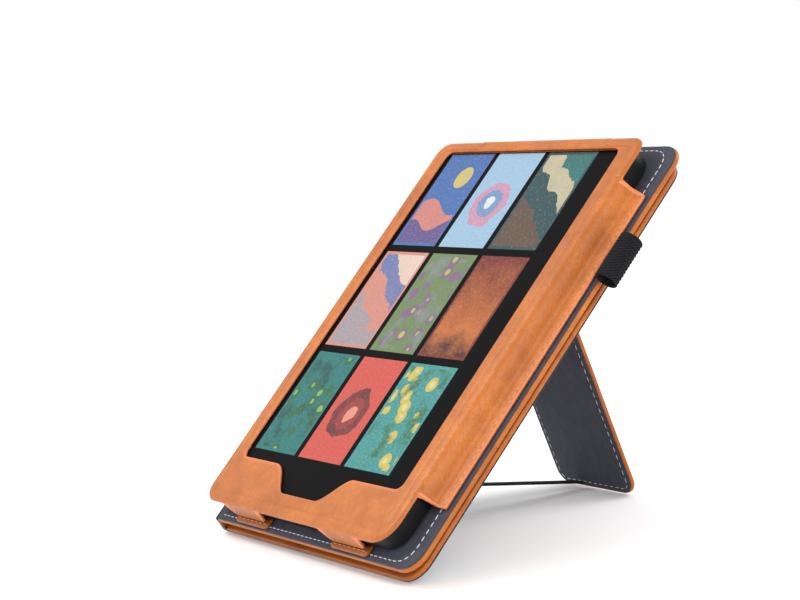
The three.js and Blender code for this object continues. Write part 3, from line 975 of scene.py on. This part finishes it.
@dataclass
class HolderSkin:
    """The leather frame: one sheet that runs from the window over the reader's edge to its seams.

    Around the frame, each section starts at the window, crosses the face and, where the leather is left
    long, bends down the reader's side and out again along the lining.
    """

    axes: Axes
    finishes: Finishes
    sections: int = 1200
    drop_steps: int = 26

    def window(self) -> np.ndarray:
        """The window's outline with the chin's dip: straight sides, and cosine slopes into the dip."""
        h = HOLDER
        r = h.window_corner
        slope = np.linspace(0, 1, 24)
        ease = (1 - np.cos(pi * slope)) / 2
        drop = h.window_bottom - h.notch_floor
        down = np.stack([h.notch_left + slope * h.notch_slope, h.window_bottom - ease * drop], -1)
        rise = np.stack([h.notch_right - h.notch_slope + slope * h.notch_slope,
                         h.notch_floor + ease * drop], -1)
        return np.concatenate([
            arc(h.window_left + r, h.window_bottom + r, r, 180, 270),
            down,
            rise,
            arc(h.window_right - r, h.window_bottom + r, r, 270, 360),
            arc(h.window_right - r, h.window_top - r, r, 0, 90),
            arc(h.window_left + r, h.window_top - r, r, 90, 180),
        ])

    def rim(self) -> np.ndarray:
        """The outer edge of the frame's face."""
        h = HOLDER
        return rounded_rect(h.left, h.heel, h.right, h.head,
                            (h.corner, h.corner_reader, h.corner, h.corner))

    def matched(self) -> tuple[np.ndarray, np.ndarray]:
        """The rim, evenly sampled, and for each of its points a point of the window.

        The window is sampled by the angle about its centre on a box that is stretched to the rim, so
        that the sections stay nearly square to both edges.
        """
        rim = resampled(self.rim(), self.sections)
        window = resampled(self.window(), 4000)
        centre = rim.mean(0)
        half_rim = (rim.max(0) - rim.min(0)) / 2
        half_win = np.array([HOLDER.window_right - HOLDER.window_left,
                             HOLDER.window_top - HOLDER.window_bottom]) / 2
        mid_win = np.array([HOLDER.window_right + HOLDER.window_left,
                            HOLDER.window_top + HOLDER.window_bottom]) / 2
        rim_angle = np.arctan2(*((rim - centre) / half_rim).T[::-1])
        win_angle = np.arctan2(*((window - mid_win) / half_win).T[::-1])
        order = np.argsort(win_angle)
        inner = np.stack([
            np.interp(rim_angle, win_angle[order], window[order, k], period=2 * pi) for k in range(2)], -1)
        return rim, inner

    def reach(self, rim: np.ndarray) -> tuple[np.ndarray, np.ndarray]:
        """How far each section goes on past the face, from 0 to 1, and its strip's width in millimetres."""
        h = HOLDER
        x, v = rim.T

        def within(value: np.ndarray, low: float, high: float, ease: float) -> np.ndarray:
            """1 between low and high and 0 outside, with soft steps as wide as ease."""
            rise = np.clip((value - low) / ease + 0.5, 0, 1)
            fall = np.clip((high - value) / ease + 0.5, 0, 1)
            t = np.minimum(rise, fall)
            return t * t * (3 - 2 * t)

        side = (x > h.right - 0.5) * within(v, h.flange_bottom, h.flange_top, 1.4)
        head = (v > h.head - 0.5) * within(x, h.flap_left, h.flap_right, 2.5)
        heel = (v < h.heel + 0.5) * np.maximum.reduce(
            [within(x, c - h.tab_half, c + h.tab_half, 4.0) for c in h.tab_centres])
        share = np.maximum.reduce([side, head, heel])
        width = np.where(side > 0, h.flange, np.where(head > 0, h.flap_reach, h.tab_reach))
        return share, width

    def build(self) -> bpy.types.Object:
        """The skin as one closed sheet."""
        h = HOLDER
        rim, inner = self.matched()
        share, width = self.reach(rim)
        normal = outward(rim)
        count = 12
        top = np.linspace(0, 1, count)
        pick = np.where(width == h.flange, 0, np.where(width == h.flap_reach, 1, 2))
        lip = self.cut_short(self.walls(), pick, share)
        edge_start = rim - normal * h.shoulder
        flat = inner[:, None] * (1 - top[None, :-1, None]) + edge_start[:, None] * top[None, :-1, None]
        crown = h.top - h.crown + h.crown * np.sin(pi * top[:-1]) ** 0.7
        face = np.concatenate([flat, np.broadcast_to(crown[None, :, None], (len(rim), count - 1, 1))], -1)
        tail_flat = rim[:, None] + normal[:, None] * lip[..., :1]
        tail = np.concatenate([tail_flat, lip[..., 1:]], -1)
        tail[:, :, 2] -= h.crown * (lip[..., 1] > h.top - 0.01)
        outer = np.concatenate([face, tail], 1)
        step = np.clip(np.abs(np.roll(share, 1) - share) + np.abs(np.roll(share, -1) - share), 0, 1)
        profile_normal = self.profile_normals(outer, normal)
        under = outer - profile_normal * h.thickness
        loop = np.concatenate([outer, under[:, ::-1]], 1)
        body = lofted("holder_leather_skin", self.axes.place(loop), capped=False)
        raw = np.zeros(loop.shape[:2])
        raw[:, :1] = 1
        raw[:, -1:] = 1
        last = outer.shape[1]
        raw[:, last - 1:last + 1] = 1
        raw = np.maximum(raw, (step > 0.02)[:, None] * (loop[..., 2] < h.top - 1.2))
        mark_edge(body, raw.ravel())
        self.finishes.wear(body, "tan_leather")
        return attach(body, "back_cover", Slot.LEATHER, "holder_leather")

    def tab_ends(self) -> None:
        """The two sewn tab ends that come out from under the frame along the cover's lower edge."""
        h = HOLDER
        rows = []
        for number, c in enumerate(h.tab_centres, 1):
            outline = rounded_rect(c - h.tab_half, h.tab_out, c + h.tab_half, h.heel + 2.2,
                                   (2.0, 2.0, 0.3, 0.3))
            end = slab(f"holder_tab_end_{number}", self.axes, resampled(outline, 140), 0.3, 1.5, 0.5)
            mark_edge(end, np.zeros(len(end.data.vertices)))
            # The tab ends wear the darker copy of the tan leather, which is painted shade under the frame's
            # edge.
            self.finishes.wear(end, "shaded_tab_leather")
            attach(end, "back_cover", Slot.LEATHER)
            rows.append(line([(c - h.tab_half + 1.2, h.heel - 0.7),
                              (c + h.tab_half - 1.2, h.heel - 0.7)], 1.5))
        made = stitches("holder_tab_stitches", self.axes, rows, radius=0.22)
        self.finishes.wear(made, "tan_thread")
        attach(made, "back_cover", Slot.LEATHER)

    @staticmethod
    def walls() -> tuple[np.ndarray, np.ndarray, np.ndarray]:
        """The profiles of the side wall, the head flap and a tab.

        Each goes from the shoulder to its seam, in distance past the rim and height over the lining.
        """
        h = HOLDER
        seam = h.seam_height
        start = (-h.shoulder, h.top)
        side = [start, (-0.8, h.top - 0.2), (1.5, h.top - 3.4), (2.3, 2.4), (2.6 + h.flange, seam)]
        head = [start, (-0.4, h.top), (0.1, h.top - 2.2), (0.4, 1.6), (0.6 + h.flap_reach, seam)]
        tab = [start, (-0.4, h.top - 0.1), (0.3, h.top - 3.2), (0.5, h.tab_lift)]
        return smooth_path(side, h.bend, 14), smooth_path(head, h.bend, 12), smooth_path(tab, h.bend, 14)

    def cut_short(self, walls: Sequence[np.ndarray], pick: np.ndarray, share: np.ndarray) -> np.ndarray:
        """Each section's own length of its wall: all walls are followed alike and end sooner or later.

        Args:
            walls: the full profiles, each from the shoulder to its seam.
            pick: which wall each section follows.
            share: 0 where the leather ends just past the shoulder, 1 where it reaches its seam.

        Returns:
            (sections, drop_steps, 2) points.
        """
        lip = HOLDER.shoulder + 0.6
        fine = 400
        even, lengths = [], []
        for wall in walls:
            run = np.concatenate([[0], np.cumsum(np.linalg.norm(np.diff(wall, axis=0), axis=1))])
            at = np.linspace(0, run[-1], fine)
            even.append(np.stack([np.interp(at, run, wall[:, k]) for k in range(2)], -1))
            lengths.append(run[-1])
        full = np.array(lengths)[pick]
        part = (lip + share * (full - lip)) / full
        place = part[:, None] * np.linspace(0, 1, self.drop_steps)[None] * (fine - 1)
        low = np.minimum(place.astype(int), fine - 2)
        rest = (place - low)[..., None]
        table = np.stack(even)
        return table[pick[:, None], low] * (1 - rest) + table[pick[:, None], low + 1] * rest

    @staticmethod
    def profile_normals(outer: np.ndarray, normal: np.ndarray) -> np.ndarray:
        """Normals of each section within its own plane: the tangent turned towards the outside."""
        tangent = np.gradient(outer, axis=1)
        out = np.einsum("ijk,ik->ij", tangent[..., :2], normal)
        up = tangent[..., 2]
        size = np.maximum(np.hypot(out, up), 1e-9)
        side = -up / size
        rise = out / size
        return np.concatenate([normal[:, None] * side[..., None], rise[..., None]], -1)

    def seams(self) -> bpy.types.Object:
        """The stitches along the flange, the head flap and the two tabs."""
        h = HOLDER
        w = 1.62
        x = h.right + h.flange + 1.3
        lines = [line([(x, h.flange_bottom + 2), (x, h.flange_top - 2)], w + 0.1)]
        v = h.head + 1.4
        lines.append(line([(h.flap_left + 1.5, v), (h.flap_right - 1.5, v)], w))
        made = stitches("holder_stitches", self.axes, lines, radius=0.24)
        self.finishes.wear(made, "tan_thread")
        return attach(made, "back_cover", Slot.LEATHER)


@dataclass
class FolioCovers:
    """The two covers with their leather, lining, stitches and the bends of the spine."""

    places: Places
    finishes: Finishes
    spine_bulge: float = 0.25
    crease_reach: float = 0.15

    def leather(self, name: str, axes: Axes, start: float, side: int, body: str, node: str) -> None:
        """A cover's outer leather with its softly turned edge."""
        c = COVER
        outline = rounded_rect(start, 0, c.width, c.height, (0.3, c.corner, c.corner, 0.3))
        low, high = (c.lining * 0.75, c.thickness)
        span = (low, high) if side > 0 else (-high, -low)
        piece = slab(name, axes, resampled(outline, 420), *span, 0.9)
        mark_edge(piece, np.zeros(len(piece.data.vertices)))
        self.finishes.wear(piece, "tan_leather")
        attach(piece, body, Slot.LEATHER, node)

    def lining(self, name: str, axes: Axes, start: float, side: int, body: str, node: str) -> None:
        """A cover's lining, slightly inside the leather's edge."""
        c = COVER
        i = c.lining_inset
        outline = rounded_rect(start, i, c.width - i, c.height - i, (0.3, c.corner, c.corner, 0.3))
        span = (0.0, c.lining * 0.7) if side > 0 else (-c.lining * 0.7, 0.0)
        piece = slab(name, axes, resampled(outline, 420), *span, 0.2)
        self.finishes.wear(piece, "navy_lining")
        attach(piece, body, Slot.LINING, node)

    def edge_stitches(self, name: str, axes: Axes, start: float, w: float, body: str, side: float) -> None:
        """Three rows of stitches along a cover's free edges, the long one at its own distance."""
        c = COVER
        i = c.stitch_inset
        end = c.width - side
        path = [(start, i), (end, i), (end, c.height - i), (start, c.height - i)]
        made = stitches(name, axes, [line(path, w, c.corner)], radius=0.22)
        self.finishes.wear(made, "white_thread")
        attach(made, body, Slot.LEATHER)

    def bend(self, name: str, path: np.ndarray, thickness: float, finish: str, slot: Slot,
             bodies: tuple[str, str], ends: tuple[np.ndarray, np.ndarray], nodes: Sequence[str]) -> None:
        """A sheet that crosses one crease, swept through the crease's bend."""
        i = COVER.lining_inset
        made = swept(name, self.places.folio, path, i, COVER.height - i, thickness)
        if finish == "tan_leather":
            mark_edge(made, np.zeros(len(made.data.vertices)))
        self.finishes.wear(made, finish)
        start, end = (Vector(self.places.folio.place(np.array([p[0], COVER.height / 2, p[1]]))) for p in ends)
        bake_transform(made)
        if nodes:
            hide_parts(*nodes)

    def spine(self) -> None:
        """Lining outside and leather inside, from the back cover round the spine to the front cover."""
        lean = SPINE.lean
        down = np.array([-sin(lean), -cos(lean)])
        far = down * SPINE.width
        middle = down * SPINE.width * 0.5
        start = np.array([COVER.back_start + 0.02, 0.0])
        finish = far + np.array([COVER.front_start, 0.0])
        bulge = np.array([-cos(lean), sin(lean)]) * self.spine_bulge
        outer_back = smooth_path([start, (-self.spine_bulge, 0), middle + bulge], 3.0, 15)
        outer_front = smooth_path([middle + bulge, far + bulge, finish], 2.6, 19)
        across = np.array([1.0, 0.0])
        back_zone = self.crease_zone(np.zeros(2), across, down)
        front_zone = self.crease_zone(far, -down, across)
        self.bend("back_crease_lining_skin", outer_back, 0.55, "navy_lining", Slot.LINING,
                  ("back_cover", "spine"), back_zone, ["spine_lining"])
        self.bend("front_crease_lining_skin", outer_front, 0.55, "navy_lining", Slot.LINING,
                  ("spine", "front_cover"), front_zone, [])
        inward = np.array([cos(lean), -sin(lean)])
        lift = 1.0
        back_elbow = self.elbow(np.zeros(2), across, down, lift)
        front_elbow = self.elbow(far, -down, across, lift)
        inner_back = smooth_path([start - np.array([0, lift]), back_elbow, middle + inward * lift], 0.5, 9)
        inner_front = smooth_path([middle + inward * lift, front_elbow, finish + np.array([0, lift])],
                                  1.6, 15)
        self.bend("back_crease_leather_skin", inner_back, 1.0, "tan_leather", Slot.LEATHER,
                  ("back_cover", "spine"), back_zone, ["back_crease_leather", "spine_leather"])
        self.bend("front_crease_leather_skin", inner_front, 1.0, "tan_leather", Slot.LEATHER,
                  ("spine", "front_cover"), front_zone, ["front_crease_leather"])

    @staticmethod
    def elbow(corner: np.ndarray, before: np.ndarray, after: np.ndarray, lift: float) -> np.ndarray:
        """Where two sheets at the same height over both sides of a crease meet.

        Args:
            corner: the crease in x and w.
            before: unit direction from the crease along the first body.
            after: unit direction from the crease along the second body.
            lift: the height of the sheets.
        """
        inside = (before + after) / np.linalg.norm(before + after)
        half = np.arccos(np.clip(before @ inside, -1, 1))
        return corner + inside * lift / np.sin(half)

    def crease_zone(self, corner: np.ndarray, before: np.ndarray, after: np.ndarray) -> tuple:
        """The two ends of a crease's bend, either side of the plane that halves its angle.

        Args:
            corner: the crease in x and w.
            before: unit direction from the crease along the first body.
            after: unit direction from the crease along the second body.
        """
        turn = after - before
        turn = turn / np.linalg.norm(turn) * self.crease_reach
        return corner - turn, corner + turn

    def build(self) -> None:
        """Both covers and the spine."""
        c = COVER
        folio, front = self.places.folio, self.places.front
        self.leather("back_cover_leather_skin", folio, c.back_start, -1, "back_cover", "back_cover_leather")
        self.lining("back_cover_lining_skin", folio, c.back_start, -1, "back_cover", "back_cover_lining")
        self.edge_stitches("back_cover_stitches", folio, c.back_start + 3, 0.06, "back_cover",
                           c.lining_seam)
        self.leather("front_cover_leather_skin", front, c.front_start, 1, "front_cover",
                     "front_cover_leather")
        self.lining("front_cover_lining_skin", front, c.front_start, 1, "front_cover", "front_cover_lining")
        self.edge_stitches("front_cover_stitches", front, c.front_start + 2, -0.06, "front_cover",
                           c.stitch_inset)
        self.edge_stitches("front_face_stitches", front, c.front_start + 2, c.thickness + 0.05,
                           "front_cover", c.stitch_inset)
        self.spine()


@dataclass
class KickstandSkin:
    """The propping panel: navy lining inside, leather outside, stitched round its edge."""

    places: Places
    finishes: Finishes

    def outline(self, inset: float) -> np.ndarray:
        """The panel's outline in the stand's own axes, hanging from its hinge."""
        s = STAND
        r = s.corner - inset
        return resampled(rounded_rect(s.left + inset, -s.length + inset, s.left + s.width - inset, -inset,
                                      (r, r, 0.6, 0.6)), 260)

    def build(self) -> None:
        """The lining, the leather and the stitches."""
        s = STAND
        axes = self.places.stand
        inner = -s.hinge_depth
        lining = slab("kickstand_lining_skin", axes, self.outline(0.45), inner - s.lining, inner, 0.25)
        self.finishes.wear(lining, "navy_lining")
        attach(lining, "kickstand", Slot.LINING, "kickstand_lining")
        back = slab("kickstand_leather_skin", axes, self.outline(0.0),
                    inner - s.thickness, inner - s.lining * 0.8, 0.8)
        mark_edge(back, np.zeros(len(back.data.vertices)))
        self.finishes.wear(back, "tan_leather")
        attach(back, "kickstand", Slot.LEATHER, "kickstand_leather")
        i = 2.6
        path = [(s.left + i, -i), (s.left + i, -s.length + i), (s.left + s.width - i, -s.length + i),
                (s.left + s.width - i, -i)]
        for name, w in (("kickstand_inner_stitches", inner - 0.02),
                        ("kickstand_outer_stitches", inner - s.thickness - 0.08)):
            made = stitches(name, axes, [line(path, w, s.corner - i)], pitch=3.6, length=2.4, radius=0.18)
            self.finishes.wear(made, "white_thread")
            attach(made, "kickstand", Slot.LEATHER)


@dataclass
class StayRibbon:
    """The flat ribbon from the front cover to the panel's foot."""

    places: Places
    finishes: Finishes
    x: float = 46.0
    anchor: float = 28.0
    anchor_face: float = 0.9
    from_foot: float = 3.0
    foot_clear: float = 0.925
    half_width: float = 3.0
    half_thickness: float = 0.4
    kept: float = 0.0015
    rest_face: float = 0.05

    def build(self, swing: float) -> None:
        """The ribbon between its two seams.

        Args:
            swing: the propped panel's angle from the cover in radians.
        """
        s = STAND
        along = s.length - self.from_foot
        rise = s.hinge_height - along * cos(swing) - self.foot_clear * sin(swing) - self.anchor
        out = -s.hinge_depth - along * sin(swing) + self.foot_clear * cos(swing) + self.anchor_face
        front = self.places.front
        slope = float(np.arctan2(out, rise))
        axes = front.moved(self.x, self.anchor, -self.anchor_face).turned_about_x(slope)
        trim = self.half_thickness
        outline = rounded_rect(-self.half_width, trim, self.half_width, float(np.hypot(rise, out)) - trim,
                               (0.4,) * 4)
        ribbon = slab("stay_ribbon_skin", axes, resampled(outline, 400), -trim, trim, 0.2)
        self.finishes.wear(ribbon, "black_elastic")
        attach(ribbon, "front_cover", Slot.ELASTIC, "stay_ribbon")
        face = front.place(np.array([self.x, self.anchor, -self.rest_face]))
        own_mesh(ribbon)


@dataclass
class ReaderSkin:
    """The glass with its display; the housing keeps its designed shape under a soft bevel."""

    places: Places
    finishes: Finishes
    nodes: dict[str, bpy.types.Object]

    def build(self) -> None:
        """The front glass with a map of millimetres for its picture."""
        r = READER
        axes = self.places.folio
        inset = r.wall
        outline = rounded_rect(r.left + inset, r.bottom + inset, r.left + r.width - inset,
                               r.bottom + r.height - inset, (r.corner - inset,) * 4)
        top = r.back + r.thickness
        glass = slab("front_glass_skin", axes, resampled(outline, 320), top - 0.8, top - 0.03, 0.2)
        self.map_millimetres(glass, axes)
        self.finishes.wear(glass, "screen")
        attach(glass, "reader", Slot.GLASS, "front_glass")
        housing = self.nodes["rear_housing"]
        bevel = housing.modifiers.new("soft_edges", "BEVEL")
        bevel.width = 0.0005
        bevel.segments = 3
        bevel.limit_method = "ANGLE"
        bevel.angle_limit = radians(50)

    @staticmethod
    def map_millimetres(piece: bpy.types.Object, axes: Axes) -> None:
        """A UV map that holds each point's x and v in the folio's axes."""
        mesh = piece.data
        points = np.zeros(len(mesh.vertices) * 3)
        mesh.vertices.foreach_get("co", points)
        local = (points.reshape(-1, 3) - axes.origin) / MM
        flat = np.stack([local @ axes.x, local @ axes.v], -1)
        corners = np.zeros(len(mesh.loops), np.int32)
        mesh.loops.foreach_get("vertex_index", corners)
        layer = mesh.uv_layers.new(name="millimetres")
        layer.data.foreach_set("uv", flat[corners].astype(np.float32).ravel())


@dataclass
class PenLoop:
    """A ribbed elastic ring on the cover's edge: radius r, with fine ribs around it."""

    places: Places
    finishes: Finishes
    bore: float = 7.4
    wall: float = 0.8
    bottom: float = 126.0
    length: float = 19.0
    rise: float = 0.2
    gap: float = 0.25
    rib: float = 0.17
    rib_pitch: float = 1.5

    def build(self) -> None:
        """The loop as one tube with a ribbed outside."""
        v = np.linspace(0, self.length, 160)
        outer = self.bore / 2 + self.wall - self.rib
        ribs = outer + self.rib * np.sin(2 * pi * v / self.rib_pitch)
        angle = np.linspace(0, 2 * pi, 64, endpoint=False)
        centre = COVER.width + self.gap + self.bore / 2 + self.wall
        radii = np.concatenate([ribs, np.full(len(v), self.bore / 2)])
        heights = np.concatenate([v, v[::-1]]) + self.bottom
        grid = np.empty((len(radii), len(angle), 3))
        grid[..., 0] = centre + radii[:, None] * np.cos(angle)
        grid[..., 1] = heights[:, None]
        grid[..., 2] = self.rise + radii[:, None] * np.sin(angle)
        made = lofted("pen_loop_skin", self.places.folio.place(grid), capped=False)
        self.finishes.wear(made, "black_elastic")
        attach(made, "back_cover", Slot.ELASTIC, "pen_loop")


@dataclass
class StrapDetail:
    """The hand strap's leather with its row of stitches."""

    places: Places
    finishes: Finishes
    centre: float = 102.5
    half: float = 11.0
    bottom: float = 55.0
    top: float = 132.0
    face: float = -1.78
    corner: float = 2.0
    seam_inset: float = 2.0

    def build(self) -> None:
        """The strap's leather and its stitches."""
        axes = self.places.front
        left, right = self.centre - self.half, self.centre + self.half
        outline = rounded_rect(left, self.bottom, right, self.top, (self.corner,) * 4)
        strap = slab("hand_strap_skin", axes, resampled(outline, 200), self.face + 0.08,
                     self.face + 0.85, 0.35)
        mark_edge(strap, np.zeros(len(strap.data.vertices)))
        self.finishes.wear(strap, "tan_leather")
        attach(strap, "hand_strap", Slot.LEATHER, "hand_strap_leather")
        i = self.seam_inset
        ring = [(left + i, self.bottom + i), (right - i, self.bottom + i), (right - i, self.top - i),
                (left + i, self.top - i), (left + i, self.bottom + i)]
        made = stitches("hand_strap_stitches", axes, [line(ring, self.face + 0.05, 0.6)])
        self.finishes.wear(made, "white_thread")
        attach(made, "hand_strap", Slot.LEATHER)


def dress_nodes(frame: dict, finishes: Finishes) -> None:
    """Gives each node that still shows the finish of its slot."""
    slots = {entry["node"]: entry["material_slot"] for entry in frame["record"]["subparts"]}
    for name, node in frame["nodes"].items():
        slot = slots[name]
        finishes.wear(node, "black_plastic" if slot == Slot.GLASS.value else slot)


# ---- Stage ---------------------------------------------------------------------------------------


def place_camera(folio: Axes) -> None:
    """Sets the camera, tied to the folio's lower left corner.

    Args:
        folio: the folio's axes.
    """
    lens = Lens()
    a, e, r = (radians(x) for x in (lens.azimuth, lens.elevation, lens.roll))
    back = np.array([sin(a) * cos(e), -cos(a) * cos(e), sin(e)])
    right = np.array([cos(a), sin(a), 0.0])
    up = np.cross(back, right)
    corner = folio.place(np.array([lens.anchor_across, 0.0, 0.0]))
    shift = corner - np.array(lens.anchor)
    spot = (np.array(lens.aim) + back * lens.distance + right * lens.shift_right + up * lens.shift_up + shift)
    turned_right = right * cos(r) - up * sin(r)
    turned_up = right * sin(r) + up * cos(r)
    basis = np.eye(4)
    basis[:3, 0], basis[:3, 1], basis[:3, 2], basis[:3, 3] = turned_right, turned_up, back, spot
    data = bpy.data.cameras.new("camera")
    data.lens = lens.focal
    data.sensor_width = 36.0
    data.clip_start = 0.01
    data.clip_end = 20.0
    camera = bpy.data.objects.new("camera", data)
    camera.matrix_world = Matrix(basis.tolist())
    bpy.context.scene.collection.objects.link(camera)
    bpy.context.scene.camera = camera


def add_light(name: str, at: Sequence[float], size: float, power: float) -> None:
    """A square soft light that faces the object."""
    data = bpy.data.lights.new(name, "AREA")
    data.energy = power
    data.size = size
    lamp = bpy.data.objects.new(name, data)
    lamp.location = at
    lamp.rotation_mode = "QUATERNION"
    lamp.rotation_quaternion = (Vector(at) - Vector((0, 0, 0.06))).to_track_quat("Z", "Y")
    bpy.context.scene.collection.objects.link(lamp)


def build_stage() -> None:
    """A plain pale floor, a bright sky and three soft lights."""
    mesh = bpy.data.meshes.new("floor")
    reach = 40.0
    low = -0.0004
    mesh.from_pydata([(-reach, -reach, low), (reach, -reach, low), (reach, reach, low), (-reach, reach, low)],
                     [], [(0, 1, 2, 3)])
    floor = bpy.data.objects.new("floor", mesh)
    bpy.context.scene.collection.objects.link(floor)
    s = Shader("pale_floor")
    mesh.materials.append(s.surface(Base_Color=(1.0, 1.0, 1.0), Roughness=1.0, Specular_IOR_Level=0.0))
    world = bpy.data.worlds.new("sky")
    world.use_nodes = True
    world.node_tree.nodes["Background"].inputs["Color"].default_value = (1.0, 1.0, 1.0, 1.0)
    world.node_tree.nodes["Background"].inputs["Strength"].default_value = 1.0
    bpy.context.scene.world = world
    add_light("key", (-0.5, -0.9, 1.1), 0.7, 13.0)
    add_light("side", (1.2, -0.3, 0.7), 0.8, 8.0)
    add_light("back", (0.3, 1.2, 0.9), 0.8, 5.0)
    bpy.context.scene.view_settings.view_transform = "Standard"


def main() -> None:
    """Builds the looks around the frame."""
    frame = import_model()
    places = Places.from_joints(frame["joints"])
    place_camera(places.folio)
    finishes = all_finishes()
    dress_nodes(frame, finishes)
    holder = HolderSkin(places.folio, finishes)
    holder.build()
    holder.seams()
    holder.tab_ends()
    FolioCovers(places, finishes).build()
    KickstandSkin(places, finishes).build()
    swing = radians(joint_named(frame["joints"], "kickstand_hinge")["range_deg"][1])
    StayRibbon(places, finishes).build(swing)
    ReaderSkin(places, finishes, frame["nodes"]).build()
    PenLoop(places, finishes).build()
    StrapDetail(places, finishes).build()
    build_stage()


if __name__ == "__main__":
    main()
